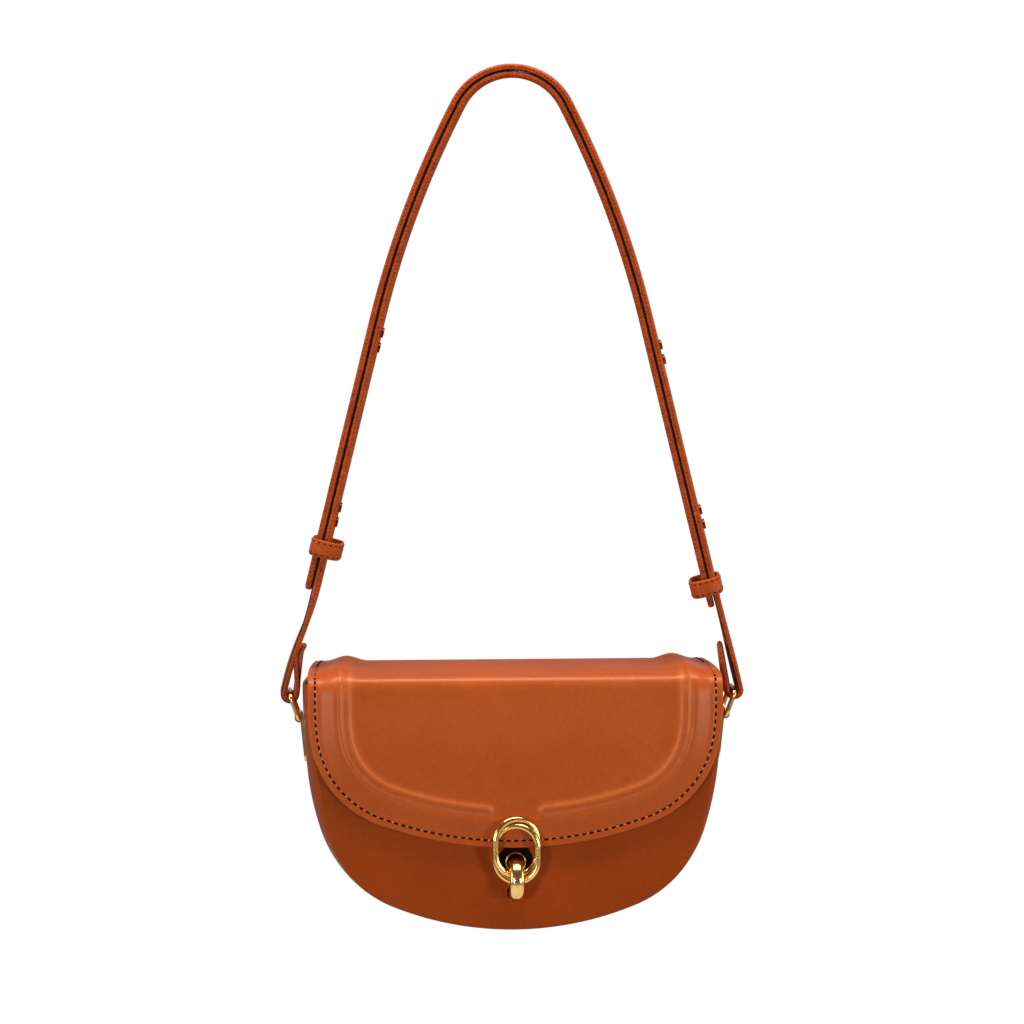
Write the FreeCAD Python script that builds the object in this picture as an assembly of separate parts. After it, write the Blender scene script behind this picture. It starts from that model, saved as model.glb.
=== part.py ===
import FreeCAD, Part
import math
import os

Vector = FreeCAD.Vector

# A half-moon leather saddle bag that hangs from its shoulder strap.
# Millimetres and degrees. The origin is under the strap at the top of its arch,
# +Z is up, the flap and its clasp face -Y, and the strap's legs part along X.

# Overrun for cutting tools
overrun = 5.0

# Shoulder strap
strap_width = 18.0
strap_thickness = 3.2
strap_gap = 1.0
strap_drop = 321.5
crown_radius = 28.0
crown_turn = 62.5
shoulder_radius = 510.0
tip_rounding = 7.0
inner_tip_rise = 45.4
outer_tip_rise = 55.8
cross_over_rise = 26.0
cross_over_length = 34.0

# Folded strap ends round the rings
loop_clearance = 0.45
loop_turn = 185.0
tab_length = 20.0
tab_curl_radius = 9.0
tab_curl_turn = 48.0
fold_joint_radius = 32.0
fold_joint_gap = 0.3

# Studs that join the two straps
stud_post_radius = 1.5
stud_head_radius = 2.7
stud_head_thickness = 1.2
stud_pitch = 8.0
stud_hole_clearance = 0.1
spacer_length = 11.0
spacer_width = 8.0
left_lower_stud_rise = 98.0
left_upper_stud_rise = 193.0
right_lower_stud_rise = 93.6
right_upper_stud_rise = 184.0

# Keepers
keeper_height = 9.3
keeper_wall = 1.8
keeper_opening = 12.4
keeper_clearance = 0.3
keeper_side_clearance = 0.8
keeper_rounding = 2.4
left_keeper_rise = 79.4
right_keeper_rise = 57.4

# Rings and side plates
ring_wire_radius = 1.3
ring_length = 13.6
ring_tilt = 20.0
ring_corner_radius = 3.0
ring_side_clearance = 0.8
knuckle_wall = 0.9
knuckle_clearance = 0.1
knuckle_side_clearance = 0.4
plate_thickness = 1.8
plate_length = 24.0
plate_top_drop = 15.0
plate_seat_gap = 0.1
plate_rounding = 4.0
plate_rivet_radius = 1.2
plate_rivet_head_radius = 2.2
plate_rivet_head_thickness = 0.6
plate_rivet_clearance = 0.05
upper_rivet_drop = 8.0
lower_rivet_drop = 18.0
backing_length = 18.0
backing_width = 12.0
backing_thickness = 0.9
backing_gap = 0.35

# Bag body
body_height = 128.0
bottom_radius = 170.0
bottom_turn = 22.5
corner_radius = 62.0
corner_turn = 75.0
side_radius = 297.0
gusset_width = 58.0
gusset_thickness = 2.2
panel_thickness = 2.0
panel_inset = 1.2
board_thickness = 2.4
board_clearance = 0.3
board_top_drop = 4.0
base_board_thickness = 1.0
base_board_gap = 0.1
base_board_turn = 20.0
lining_gap = 1.5
lining_thickness = 0.8

# Flap
flap_rise = 11.0
flap_gap = 0.5
flap_leather = 2.0
flap_padding = 1.2
flap_lining = 0.8
front_fold_radius = 12.0
back_fold_radius = 10.0
fold_slit = 0.2
flap_front_height = 93.0
flap_bottom_radius = 210.0
flap_bottom_turn = 22.0
flap_corner_radius = 42.0
flap_corner_turn = 72.0
flap_side_radius = 126.0
flap_fold_half_width = 106.0
flap_back_half_width = 103.0
flap_root_length = 36.0
flap_root_rounding = 18.0
padding_inset = 5.0
flap_lining_inset = 1.5

# Clasp
clasp_wire_radius = 1.6
clasp_half_width = 10.8
clasp_half_height = 13.85
clasp_step = 3.6
clasp_face_gap = 0.3
clasp_overhang = 18.0
link_width = 7.3
link_thickness = 5.0
link_rounding = 2.2
link_arch_radius = 8.2
link_setback = 2.0
link_gap = 0.8
link_dock_depth = 1.8
socket_clearance = 0.9
ferrule_wall = 0.7
ferrule_height = 1.0
seat_wall = 1.0
seat_height = 0.9
magnet_radius = 5.0
magnet_thickness = 1.5
magnet_clearance = 0.1
washer_radius = 6.0
washer_thickness = 0.5
post_radius = 1.1
post_rise = 6.0
post_clearance = 0.05
clasp_plate_length = 27.0
clasp_plate_width = 7.0
clasp_plate_thickness = 0.8
clasp_plate_clearance = 0.2

# Levels and depths that several pieces share
mouth_z = -strap_drop
bottom_z = mouth_z - body_height
front_y = -gusset_width / 2 - panel_thickness
back_y = gusset_width / 2 + panel_thickness
flap_thickness = flap_leather + flap_padding + flap_lining
flap_face_y = front_y - flap_gap - flap_thickness
flap_back_y = back_y + flap_leather
flap_top_z = mouth_z + flap_rise
flap_bottom_z = flap_top_z - flap_front_height


def on_xz(point, depth=0.0):
    return Vector(point[0], depth, point[1])


def on_yz(point, side=0.0):
    return Vector(side, point[0], point[1])


def unit(degrees):
    return (math.cos(math.radians(degrees)), math.sin(math.radians(degrees)))


def shift(point, distance, degrees):
    along, up = unit(degrees)
    return (point[0] + distance * along, point[1] + distance * up)


class Route:
    """Straight runs and tangent arcs in a plane, from a start and a heading."""

    def __init__(self, start, heading):
        self.point = start
        self.heading = heading
        self.pieces = []

    def ahead(self, length):
        self.pieces.append((self.point, self.heading, length, 0.0))
        self.point = shift(self.point, length, self.heading)
        return self

    def bend(self, radius, turn):
        """A positive turn is to the left."""
        self.pieces.append((self.point, self.heading, radius, turn))
        side = math.copysign(90.0, turn)
        centre = shift(self.point, radius, self.heading + side)
        self.heading += turn
        self.point = shift(centre, radius, self.heading - side)
        return self

    def backwards(self):
        """The same route walked from its end."""
        back = Route(self.point, self.heading + 180.0)
        for _, _, size, turn in reversed(self.pieces):
            if turn:
                back.bend(size, -turn)
            else:
                back.ahead(size)
        return back

    def mirrored(self):
        first, heading = self.pieces[0][0], self.pieces[0][1]
        other = Route((-first[0], first[1]), 180.0 - heading)
        for _, _, size, turn in self.pieces:
            if turn:
                other.bend(size, -turn)
            else:
                other.ahead(size)
        return other

    def join(self, other):
        for _, _, size, turn in other.pieces:
            if turn:
                self.bend(size, turn)
            else:
                self.ahead(size)
        return self

    def edges(self, offset, place):
        """Edges of the route moved sideways, to the left for a positive offset."""
        made = []
        for start, heading, size, turn in self.pieces:
            begin = shift(start, offset, heading + 90.0)
            if turn:
                side = math.copysign(90.0, turn)
                centre = shift(start, size, heading + side)
                radius = size - offset * math.copysign(1.0, turn)
                middle = shift(centre, radius, heading + turn / 2 - side)
                end = shift(centre, radius, heading + turn - side)
                made.append(Part.Arc(place(begin), place(middle), place(end)).toShape())
            else:
                end = shift(begin, size, heading)
                made.append(Part.LineSegment(place(begin), place(end)).toShape())
        return made


def closed_face(edges):
    return Part.Face(Part.Wire(Part.__sortEdges__(edges)))


def band(route, left, right, place, sweep):
    """A strip between two sideways offsets of a route, extruded along a vector."""
    one = route.edges(left, place)
    two = route.edges(right, place)
    first = Part.LineSegment(one[0].firstVertex().Point, two[0].firstVertex().Point).toShape()
    last = Part.LineSegment(one[-1].lastVertex().Point, two[-1].lastVertex().Point).toShape()
    return closed_face(one + [last] + two + [first]).extrude(sweep)


def block(low, high):
    size = high - low
    return Part.makeBox(size.x, size.y, size.z, low)


def rod(radius, start, end):
    return Part.makeCylinder(radius, (end - start).Length, start, end - start)


def rounded_box(low, high, axis, radius):
    """A box whose four edges along one axis are rounded."""
    box = block(low, high)
    along = [e for e in box.Edges if abs(e.tangentAt(e.FirstParameter).dot(axis)) > 0.9]
    return box.makeFillet(radius, along)


def outline_route(bottom_size, first_turn, corner_size, second_turn, side_size, inset):
    """Half of a half-moon outline, from its lowest point to its upright side."""
    route = Route((0.0, inset), 0.0)
    route.bend(bottom_size - inset, first_turn)
    route.bend(corner_size - inset, second_turn - first_turn)
    route.bend(side_size - inset, 90.0 - second_turn)
    return route


def half_moon(route, base, upper_points, depth, thickness):
    """A plate of the mirrored outline, closed over the top by the given points."""

    def place(point):
        return Vector(point[0], depth, base + point[1])

    edges = route.edges(0.0, place) + route.mirrored().edges(0.0, place)
    path = [route.point] + list(upper_points)
    path += [(-x, z) for x, z in reversed(path)]
    for a, b in zip(path, path[1:]):
        edges.append(Part.LineSegment(place(a), place(b)).toShape())
    return closed_face(edges).extrude(Vector(0, thickness, 0))


# Body outline: everything of the body is an inset of these arcs

def body_route(inset):
    return outline_route(bottom_radius, bottom_turn, corner_radius, corner_turn, side_radius, inset)


def body_plate(inset, depth, thickness, top_z):
    """A body outline plate, cut off level at its top."""
    plate = half_moon(body_route(inset), bottom_z, [], depth, thickness)
    reach = side_radius
    above = block(Vector(-reach, depth - overrun, top_z),
                  Vector(reach, depth + thickness + overrun, top_z + reach))
    return plate.cut(above)


upright = body_route(0.0).point
side_centre = (upright[0] - side_radius, bottom_z + upright[1])
side_top_z = bottom_z + upright[1]


# Plate frame: places on the right side plate, from its middle on the gusset

plate_middle_drop = plate_top_drop + plate_length / 2
plate_lean = math.degrees(math.asin((side_top_z - mouth_z + plate_middle_drop) / side_radius))
knuckle_bore = ring_wire_radius + knuckle_clearance
knuckle_radius = knuckle_bore + knuckle_wall


def plate_point(up, out):
    """A point in XZ, measured up the plate and out from its seat."""
    seat = shift(side_centre, side_radius + plate_seat_gap, -plate_lean)
    raised = shift(seat, up, 90.0 - plate_lean)
    return shift(raised, out, -plate_lean)


knuckle_centre = plate_point(plate_length / 2, knuckle_radius)
bar_centre = shift(knuckle_centre, ring_length, 90.0 - ring_tilt)
ring_half_width = strap_width / 2 + ring_side_clearance + ring_wire_radius


# Strap routes: the right half of each layer, from the top of the arch

inner_offset = strap_thickness / 2
outer_offset = strap_thickness + strap_gap + strap_thickness / 2
loop_radius = ring_wire_radius + loop_clearance + strap_thickness / 2
crown_centre = (0.0, -crown_radius)
shoulder_centre = shift(crown_centre, crown_radius - shoulder_radius, 90.0 - crown_turn)
centre_gap = (bar_centre[0] - shoulder_centre[0], bar_centre[1] - shoulder_centre[1])
radius_gap = shoulder_radius + outer_offset - loop_radius
leg_length = math.sqrt(centre_gap[0] ** 2 + centre_gap[1] ** 2 - radius_gap ** 2)
leg_heading = math.degrees(math.atan2(centre_gap[1], centre_gap[0]) - math.atan2(radius_gap, leg_length))
leg_turn = -leg_heading


def arch_half(offset):
    """One layer's arch and shoulder, ending where the straight leg starts."""
    route = Route((0.0, offset), 0.0)
    route.bend(crown_radius + offset, -crown_turn)
    route.bend(shoulder_radius + offset, crown_turn - leg_turn)
    return route


def add_loop(route, curl_turn):
    route.bend(loop_radius, -loop_turn)
    route.ahead(tab_length)
    if curl_turn:
        route.bend(tab_curl_radius, curl_turn)
    return route


def leg_point(rise, out):
    """A point in XZ beside the right leg: up from its end, out from the outer layer's middle."""
    end = arch_half(outer_offset).ahead(leg_length - rise).point
    return shift(end, out, leg_heading + 90.0)


def inner_strap_route():
    """From the turned-back tab at the left ring, over the arch, to the right tip."""
    left = arch_half(inner_offset)
    step = outer_offset - inner_offset
    sway = 2 * math.degrees(math.atan(step / cross_over_length))
    sway_radius = cross_over_length / (2 * math.sin(math.radians(sway)))
    left.ahead(leg_length - cross_over_rise - cross_over_length)
    left.bend(sway_radius, sway).bend(sway_radius, -sway)
    left.ahead(cross_over_rise)
    add_loop(left, tab_curl_turn)
    right = arch_half(inner_offset).ahead(leg_length - inner_tip_rise)
    return left.mirrored().backwards().join(right)


def outer_strap_route():
    """From the left tip, over the arch, to the turned-back tab at the right ring."""
    left = arch_half(outer_offset).ahead(leg_length - outer_tip_rise)
    right = add_loop(arch_half(outer_offset).ahead(leg_length), 0.0)
    return left.mirrored().backwards().join(right)


def round_tip(solid, tip):
    """Rounds the two short edges at a strap's free end."""
    half = strap_width / 2
    corners = []
    for edge in solid.Edges:
        at = edge.CenterOfMass
        if (at - on_xz(tip, math.copysign(half, at.y))).Length < strap_thickness / 2:
            corners.append(edge)
    return solid.makeFillet(tip_rounding, corners)


def strap_solid(route):
    half = strap_thickness / 2
    sweep = Vector(0, strap_width, 0)
    solid = band(route, half, -half, on_xz, sweep)
    solid.translate(Vector(0, -strap_width / 2, 0))
    return solid


def fold_cylinder(radius):
    """A cylinder round the axis through both ring bars."""
    reach = bar_centre[0] + fold_joint_radius
    return rod(radius, on_xz((-reach, bar_centre[1])), on_xz((reach, bar_centre[1])))


def mirror_x(shape):
    return shape.mirror(Vector(0, 0, 0), Vector(1, 0, 0))


# Studs and spacers, placed on the right leg and mirrored for the left

left_stud_rises = (left_lower_stud_rise, left_upper_stud_rise)
right_stud_rises = (right_lower_stud_rise, right_upper_stud_rise)


def stud_places(rises):
    half_pitch = stud_pitch / 2
    return [rise + side for rise in rises for side in (-half_pitch, half_pitch)]


def leg_rod(radius, rise, start_out, end_out):
    return rod(radius, on_xz(leg_point(rise, start_out)), on_xz(leg_point(rise, end_out)))


outer_face = strap_thickness / 2
inner_face = -strap_thickness - strap_gap - strap_thickness / 2


def stud(rise, heads_outside):
    """A post flush with one face of the stack, with its head on the other."""
    post = leg_rod(stud_post_radius, rise, inner_face, outer_face)
    if heads_outside:
        head = leg_rod(stud_head_radius, rise, outer_face, outer_face + stud_head_thickness)
    else:
        head = leg_rod(stud_head_radius, rise, inner_face - stud_head_thickness, inner_face)
    return post.fuse(head).removeSplitter()


def stud_holes(rises):
    radius = stud_post_radius + stud_hole_clearance
    reach = overrun
    return [leg_rod(radius, rise, inner_face - reach, outer_face + reach) for rise in stud_places(rises)]


def leg_frame(shape, rise, out):
    """Turns a shape made with +Z along the leg and +X outwards, and puts it beside the right leg."""
    shape.rotate(Vector(0, 0, 0), Vector(0, 1, 0), -(90.0 + leg_heading))
    shape.translate(on_xz(leg_point(rise, out)))
    return shape


def spacer(rise):
    middle = -(strap_thickness + strap_gap) / 2
    half = Vector(strap_gap / 2, spacer_width / 2, spacer_length / 2)
    plate = block(half.negative(), half)
    plate = leg_frame(plate, rise, middle)
    holes = [leg_rod(stud_post_radius + stud_hole_clearance, r, inner_face, outer_face)
             for r in stud_places((rise,))]
    return plate.cut(Part.makeCompound(holes))


def keeper(rise):
    """A leather band round both layers, resting on the outer one."""
    deep = strap_width / 2 + keeper_side_clearance
    outside = outer_face + keeper_clearance + keeper_wall
    inside = outside - keeper_opening - 2 * keeper_wall
    half = keeper_height / 2
    along = Vector(0, 0, 1)
    shell = rounded_box(Vector(inside, -deep - keeper_wall, -half),
                        Vector(outside, deep + keeper_wall, half), along, keeper_rounding)
    hole = block(Vector(inside + keeper_wall, -deep, -half - overrun),
                 Vector(outside - keeper_wall, deep, half + overrun))
    return leg_frame(shell.cut(hole), rise, 0.0)


# Ring and side plate, made for the right side

def ring():
    """A rectangular wire ring between the strap's loop and the plate's knuckle."""
    half = ring_half_width
    turn = 90.0
    side = ring_length - 2 * ring_corner_radius
    across = 2 * half - 2 * ring_corner_radius
    route = Route((-half, ring_corner_radius), 90.0)
    for length in (side, across, side, across):
        route.ahead(length)
        route.bend(ring_corner_radius, -turn)
    path = Part.Wire(route.edges(0.0, on_yz))
    circle = Part.Circle(Vector(0, -half, ring_corner_radius), Vector(0, 0, 1), ring_wire_radius)
    solid = path.makePipeShell([Part.Wire(circle.toShape())], True, False)
    solid.rotate(Vector(0, 0, 0), Vector(0, 1, 0), ring_tilt)
    solid.translate(on_xz(knuckle_centre))
    return solid


def knuckle_half_length():
    return ring_half_width - ring_wire_radius - knuckle_side_clearance - ring_corner_radius / 2


def plate_frame(shape):
    """Turns a shape made with +Z up the plate and +X out from its seat, and puts it there."""
    shape.rotate(Vector(0, 0, 0), Vector(0, 1, 0), plate_lean)
    shape.translate(on_xz(plate_point(0.0, 0.0)))
    return shape


plate_rivet_drops = (upper_rivet_drop, lower_rivet_drop)


def side_plate():
    half = knuckle_half_length()
    top = plate_length / 2
    axis = Vector(1, 0, 0)
    leaf = block(Vector(0, -half, -top), Vector(plate_thickness, half, top))
    lower = [e for e in leaf.Edges
             if abs(e.tangentAt(e.FirstParameter).dot(axis)) > 0.9 and e.CenterOfMass.z < 0]
    leaf = leaf.makeFillet(plate_rounding, lower)
    start = Vector(knuckle_radius, -half, top)
    end = Vector(knuckle_radius, half, top)
    bore_reach = Vector(0, overrun, 0)
    solid = leaf.fuse(rod(knuckle_radius, start, end)).removeSplitter()
    solid = solid.cut(rod(knuckle_bore, start - bore_reach, end + bore_reach))
    for drop in plate_rivet_drops:
        at = top - drop
        sink = plate_thickness - plate_rivet_head_thickness
        solid = solid.cut(rod(plate_rivet_radius + plate_rivet_clearance,
                              Vector(-overrun, 0, at), Vector(overrun, 0, at)))
        solid = solid.cut(rod(plate_rivet_head_radius + plate_rivet_clearance,
                              Vector(sink, 0, at), Vector(overrun, 0, at)))
    return plate_frame(solid)


backing_outer = -plate_seat_gap - gusset_thickness - backing_gap
backing_inner = backing_outer - backing_thickness


def plate_rivets():
    rivets = []
    for drop in plate_rivet_drops:
        at = plate_length / 2 - drop
        sink = plate_thickness - plate_rivet_head_thickness
        head = rod(plate_rivet_head_radius, Vector(sink, 0, at), Vector(plate_thickness, 0, at))
        post = rod(plate_rivet_radius, Vector(backing_inner, 0, at), Vector(sink, 0, at))
        rivets.append(plate_frame(head.fuse(post).removeSplitter()))
    return rivets


def rivet_holes():
    """Holes for the rivets of the right plate, right through the gusset and backing plate."""
    holes = []
    for drop in plate_rivet_drops:
        at = plate_length / 2 - drop
        hole = rod(plate_rivet_radius + plate_rivet_clearance, Vector(-overrun, 0, at), Vector(0, 0, at))
        holes.append(plate_frame(hole))
    return holes


def backing_plate():
    half = Vector(0, backing_width / 2, backing_length / 2)
    low = Vector(backing_inner, -half.y, -half.z)
    high = Vector(backing_outer, half.y, half.z)
    return plate_frame(block(low, high)).cut(Part.makeCompound(rivet_holes()))


# Bag body

def gusset():
    depth = -gusset_width / 2
    solid = body_plate(0.0, depth, gusset_width, mouth_z)
    hollow = body_plate(gusset_thickness, depth - overrun, gusset_width + 2 * overrun, mouth_z + overrun)
    holes = rivet_holes()
    holes += [mirror_x(hole) for hole in holes]
    return solid.cut(hollow).cut(Part.makeCompound(holes))


def clasp_depth_rod(radius, height, start_y, end_y):
    return rod(radius, Vector(0, start_y, height), Vector(0, end_y, height))


def front_panel():
    panel = body_plate(panel_inset, front_y, panel_thickness, mouth_z)
    for height in (upper_socket_z, lower_socket_z):
        hole = clasp_depth_rod(socket_outer_radius, height, front_y - overrun, front_y + overrun)
        panel = panel.cut(hole)
    return panel


def back_panel():
    return body_plate(panel_inset, gusset_width / 2, panel_thickness, back_fold[1])


def board(depth):
    inset = gusset_thickness + board_clearance
    return body_plate(inset, depth, board_thickness, mouth_z - board_top_drop)


def front_board():
    """The front stiffener, pierced for the magnet and for the lower prong."""
    depth = -gusset_width / 2
    solid = board(depth)
    radii = (washer_radius + magnet_clearance, socket_inner_radius)
    for height, radius in zip((upper_socket_z, lower_socket_z), radii):
        solid = solid.cut(clasp_depth_rod(radius, height, depth - overrun, depth + overrun))
    return solid


def base_board():
    """A curved strip under the lining along the bottom arc."""
    outer = bottom_radius - gusset_thickness - base_board_gap
    centre_z = bottom_z + bottom_radius
    turn = base_board_turn
    start = shift((0.0, centre_z), outer, -90.0 - turn)
    route = Route(start, -turn).bend(outer, 2 * turn)
    length = gusset_width - 2 * board_thickness - 2 * board_clearance
    solid = band(route, 0.0, base_board_thickness, on_xz, Vector(0, length, 0))
    solid.translate(Vector(0, -length / 2, 0))
    return solid


def lining():
    inset = gusset_thickness + lining_gap
    half = gusset_width / 2 - board_thickness - board_clearance
    wall = lining_thickness
    bag = body_plate(inset, -half, 2 * half, mouth_z)
    hollow = body_plate(inset + wall, -half + wall, 2 * half - 2 * wall, mouth_z + overrun)
    return bag.cut(hollow)


# Flap: one bent profile in YZ, cut into root, top and front along its two folds

front_fold = (flap_face_y + front_fold_radius, flap_top_z - front_fold_radius)
back_fold = (flap_back_y - back_fold_radius, flap_top_z - back_fold_radius)
flap_reach = flap_side_radius
fold_diagonal = 45.0


def flap_profile(outside, inside):
    """The flap's bent section between two depths under its outer face."""
    route = Route((flap_back_y, flap_top_z - back_fold_radius - flap_root_length), 90.0)
    route.ahead(flap_root_length)
    route.bend(back_fold_radius, 90.0)
    route.ahead(back_fold[0] - front_fold[0])
    route.bend(front_fold_radius, 90.0)
    route.ahead(flap_front_height - front_fold_radius)
    solid = band(route, outside, inside, on_yz, Vector(2 * flap_reach, 0, 0))
    solid.translate(Vector(-flap_reach, 0, 0))
    return solid


def fold_wedge(centre, from_angle, to_angle):
    """A wide wedge round a fold's centre, bounded by two directions in YZ."""
    size = 2 * flap_reach
    corners = [centre]
    for step in range(4):
        angle = from_angle + (to_angle - from_angle) * step / 3
        corners.append(shift(centre, size, angle))
    points = [on_yz(corner) for corner in corners]
    wedge = Part.Face(Part.makePolygon(points + points[:1])).extrude(Vector(2 * flap_reach, 0, 0))
    wedge.translate(Vector(-flap_reach, 0, 0))
    return wedge


def front_side():
    """Everything past the front fold's diagonal, a slit away from it."""
    start = shift(front_fold, fold_slit, 180.0 + fold_diagonal)
    return fold_wedge(start, 180.0 - fold_diagonal, 360.0 - fold_diagonal)


def root_side():
    start = shift(back_fold, fold_slit, -fold_diagonal)
    return fold_wedge(start, -180.0 + fold_diagonal, fold_diagonal)


def between_folds():
    back = fold_wedge(back_fold, fold_diagonal, 180.0 + fold_diagonal)
    front = fold_wedge(front_fold, -fold_diagonal, 180.0 - fold_diagonal)
    return back.common(front)


def flap_front_plan(inset):
    """The flap's front outline as a block through its depth."""
    route = outline_route(flap_bottom_radius, flap_bottom_turn, flap_corner_radius, flap_corner_turn,
                          flap_side_radius, inset)
    upper = [(flap_fold_half_width - inset, flap_front_height)]
    return half_moon(route, flap_bottom_z, upper, flap_face_y - overrun, -flap_face_y + overrun)


def flap_top_plan(inset):
    """The flap's top outline, narrower at the back, as a block through its height."""
    front = flap_fold_half_width - inset
    back = flap_back_half_width - inset
    low = flap_top_z - 2 * front_fold_radius
    corners = [(front, flap_face_y), (back, flap_back_y), (-back, flap_back_y), (-front, flap_face_y)]
    points = [Vector(x, y, low) for x, y in corners]
    face = Part.Face(Part.makePolygon(points + points[:1]))
    return face.extrude(Vector(0, 0, 2 * front_fold_radius + overrun))


def flap_front():
    return flap_profile(0.0, flap_leather).common(front_side()).common(flap_front_plan(0.0))


def flap_front_layer(outside, inside, inset):
    return flap_profile(outside, inside).common(front_side()).common(flap_front_plan(inset))


def flap_front_lining():
    outside = flap_leather + flap_padding
    return flap_front_layer(outside, flap_thickness, flap_lining_inset)


def flap_padding_layer():
    """Padding under the flap's front, with a pocket for the clasp's back plate."""
    layer = flap_front_layer(flap_leather, flap_leather + flap_padding, padding_inset)
    below = block(Vector(-flap_reach, flap_face_y - overrun, front_fold[1]),
                  Vector(flap_reach, 0, flap_top_z + overrun))
    pocket = clasp_plate_block(clasp_plate_clearance, flap_padding)
    return layer.cut(below).cut(pocket)


def flap_top():
    return flap_profile(0.0, flap_leather).common(between_folds()).common(flap_top_plan(0.0))


def flap_top_lining():
    layer = flap_profile(flap_leather, flap_leather + flap_lining)
    return layer.common(between_folds()).common(flap_top_plan(flap_lining_inset))


def flap_root():
    root = flap_profile(0.0, flap_leather).common(root_side())
    low = Vector(-flap_back_half_width, 0, flap_top_z - back_fold_radius - flap_root_length)
    high = Vector(flap_back_half_width, flap_back_y + overrun, flap_top_z + overrun)
    plan = block(low, high)
    axis = Vector(0, 1, 0)
    lower = [e for e in plan.Edges
             if abs(e.tangentAt(e.FirstParameter).dot(axis)) > 0.9 and e.CenterOfMass.z < back_fold[1]]
    return root.common(plan.makeFillet(flap_root_rounding, lower))


# Clasp: two oval rings linked through each other, and the link that docks in the front panel

clasp_lean = math.degrees(math.asin(clasp_step / 2 / clasp_half_width))
clasp_y = flap_face_y - clasp_face_gap - clasp_wire_radius - clasp_step / 2
clasp_middle_z = flap_bottom_z - clasp_overhang + clasp_wire_radius + clasp_half_height + clasp_step / 2
upper_ring_z = clasp_middle_z + clasp_step / 2
lower_ring_z = clasp_middle_z - clasp_step / 2
link_inner_radius = link_arch_radius - link_thickness / 2
link_y = clasp_y + link_setback
bar_drop = math.sqrt((link_inner_radius - clasp_wire_radius - link_gap) ** 2 - link_setback ** 2)
link_z = upper_ring_z - clasp_half_height - bar_drop
upper_socket_z = link_z + link_arch_radius
lower_socket_z = link_z - link_arch_radius
socket_inner_radius = link_width / 2 + socket_clearance
socket_outer_radius = socket_inner_radius + ferrule_wall
dock_y = front_y + link_dock_depth


def clasp_ring(height, lean):
    """An oval ring of round wire, leaning about its upright axis."""
    straight = 2 * (clasp_half_height - clasp_half_width)
    route = Route((-clasp_half_width, -straight / 2), 90.0)
    for _ in range(2):
        route.ahead(straight)
        route.bend(clasp_half_width, -180.0)
    path = Part.Wire(route.edges(0.0, on_xz))
    start = on_xz((-clasp_half_width, -straight / 2))
    circle = Part.Circle(start, Vector(0, 0, 1), clasp_wire_radius)
    solid = path.makePipeShell([Part.Wire(circle.toShape())], True, False)
    solid.rotate(Vector(0, 0, 0), Vector(0, 0, 1), lean)
    solid.translate(Vector(0, clasp_y, height))
    return solid


def link_section():
    """The link's rounded section, at the upper arm."""
    low = Vector(-link_width / 2, 0, -link_thickness / 2)
    high = Vector(link_width / 2, overrun, link_thickness / 2)
    bar = rounded_box(low, high, Vector(0, 1, 0), link_rounding)
    face = [f for f in bar.Faces if f.CenterOfMass.y < overrun / 4 and abs(f.normalAt(0, 0).y) > 0.9][0]
    face = face.copy()
    face.translate(Vector(0, link_y, link_z + link_arch_radius))
    return face


def clasp_link():
    """A half ring with two straight prongs that dock in the panel's sockets."""
    section = link_section()
    arch = section.revolve(Vector(0, link_y, link_z), Vector(1, 0, 0), 180.0)
    upper = section.extrude(Vector(0, dock_y - link_y, 0))
    lower = upper.copy()
    lower.translate(Vector(0, 0, -2 * link_arch_radius))
    return arch.fuse([upper, lower]).removeSplitter()


def socket_ring(height, wall, rise):
    """A rim on the front panel round a socket, with a sleeve through the panel."""
    inner = socket_inner_radius
    rim = clasp_depth_rod(socket_outer_radius + wall, height, front_y - rise, front_y)
    sleeve = clasp_depth_rod(socket_outer_radius, height, front_y, front_y + panel_thickness)
    hole = clasp_depth_rod(inner, height, front_y - overrun, front_y + panel_thickness + overrun)
    return rim.fuse(sleeve).removeSplitter().cut(hole)


washer_y = -gusset_width / 2 + board_thickness - washer_thickness


def clasp_magnet():
    return clasp_depth_rod(magnet_radius, upper_socket_z, washer_y - magnet_thickness, washer_y)


def magnet_washer():
    return clasp_depth_rod(washer_radius, upper_socket_z, washer_y, washer_y + washer_thickness)


post_z = flap_bottom_z + post_rise
clasp_plate_y = flap_face_y + flap_leather


def clasp_plate_block(clearance, thickness):
    half = clasp_plate_length / 2 + clearance
    tall = clasp_plate_width / 2 + clearance
    return block(Vector(-half, clasp_plate_y, post_z - tall),
                 Vector(half, clasp_plate_y + thickness, post_z + tall))


def post_place(ring_z, side):
    """Where a ring's wire lies nearest the flap, on one side of the clasp."""
    arc_z = ring_z + clasp_half_height - clasp_half_width
    rise = max(0.0, post_z - arc_z)
    return side * math.sqrt(clasp_half_width ** 2 - rise ** 2)


def post_rods(radius, start_y, end_y):
    rods = []
    for ring_z, side in ((upper_ring_z, 1), (lower_ring_z, -1)):
        x = post_place(ring_z, side)
        rods.append(rod(radius, Vector(x, start_y, post_z), Vector(x, end_y, post_z)))
    return rods


def clasp_posts():
    return post_rods(post_radius, flap_face_y, clasp_plate_y + clasp_plate_thickness)


def clasp_plate():
    plate = clasp_plate_block(0.0, clasp_plate_thickness)
    holes = post_rods(post_radius + post_clearance, clasp_plate_y - overrun, clasp_plate_y + overrun)
    return plate.cut(Part.makeCompound(holes))


def save(name, shape):
    shape.exportStep("parts/" + name + ".step")


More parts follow.
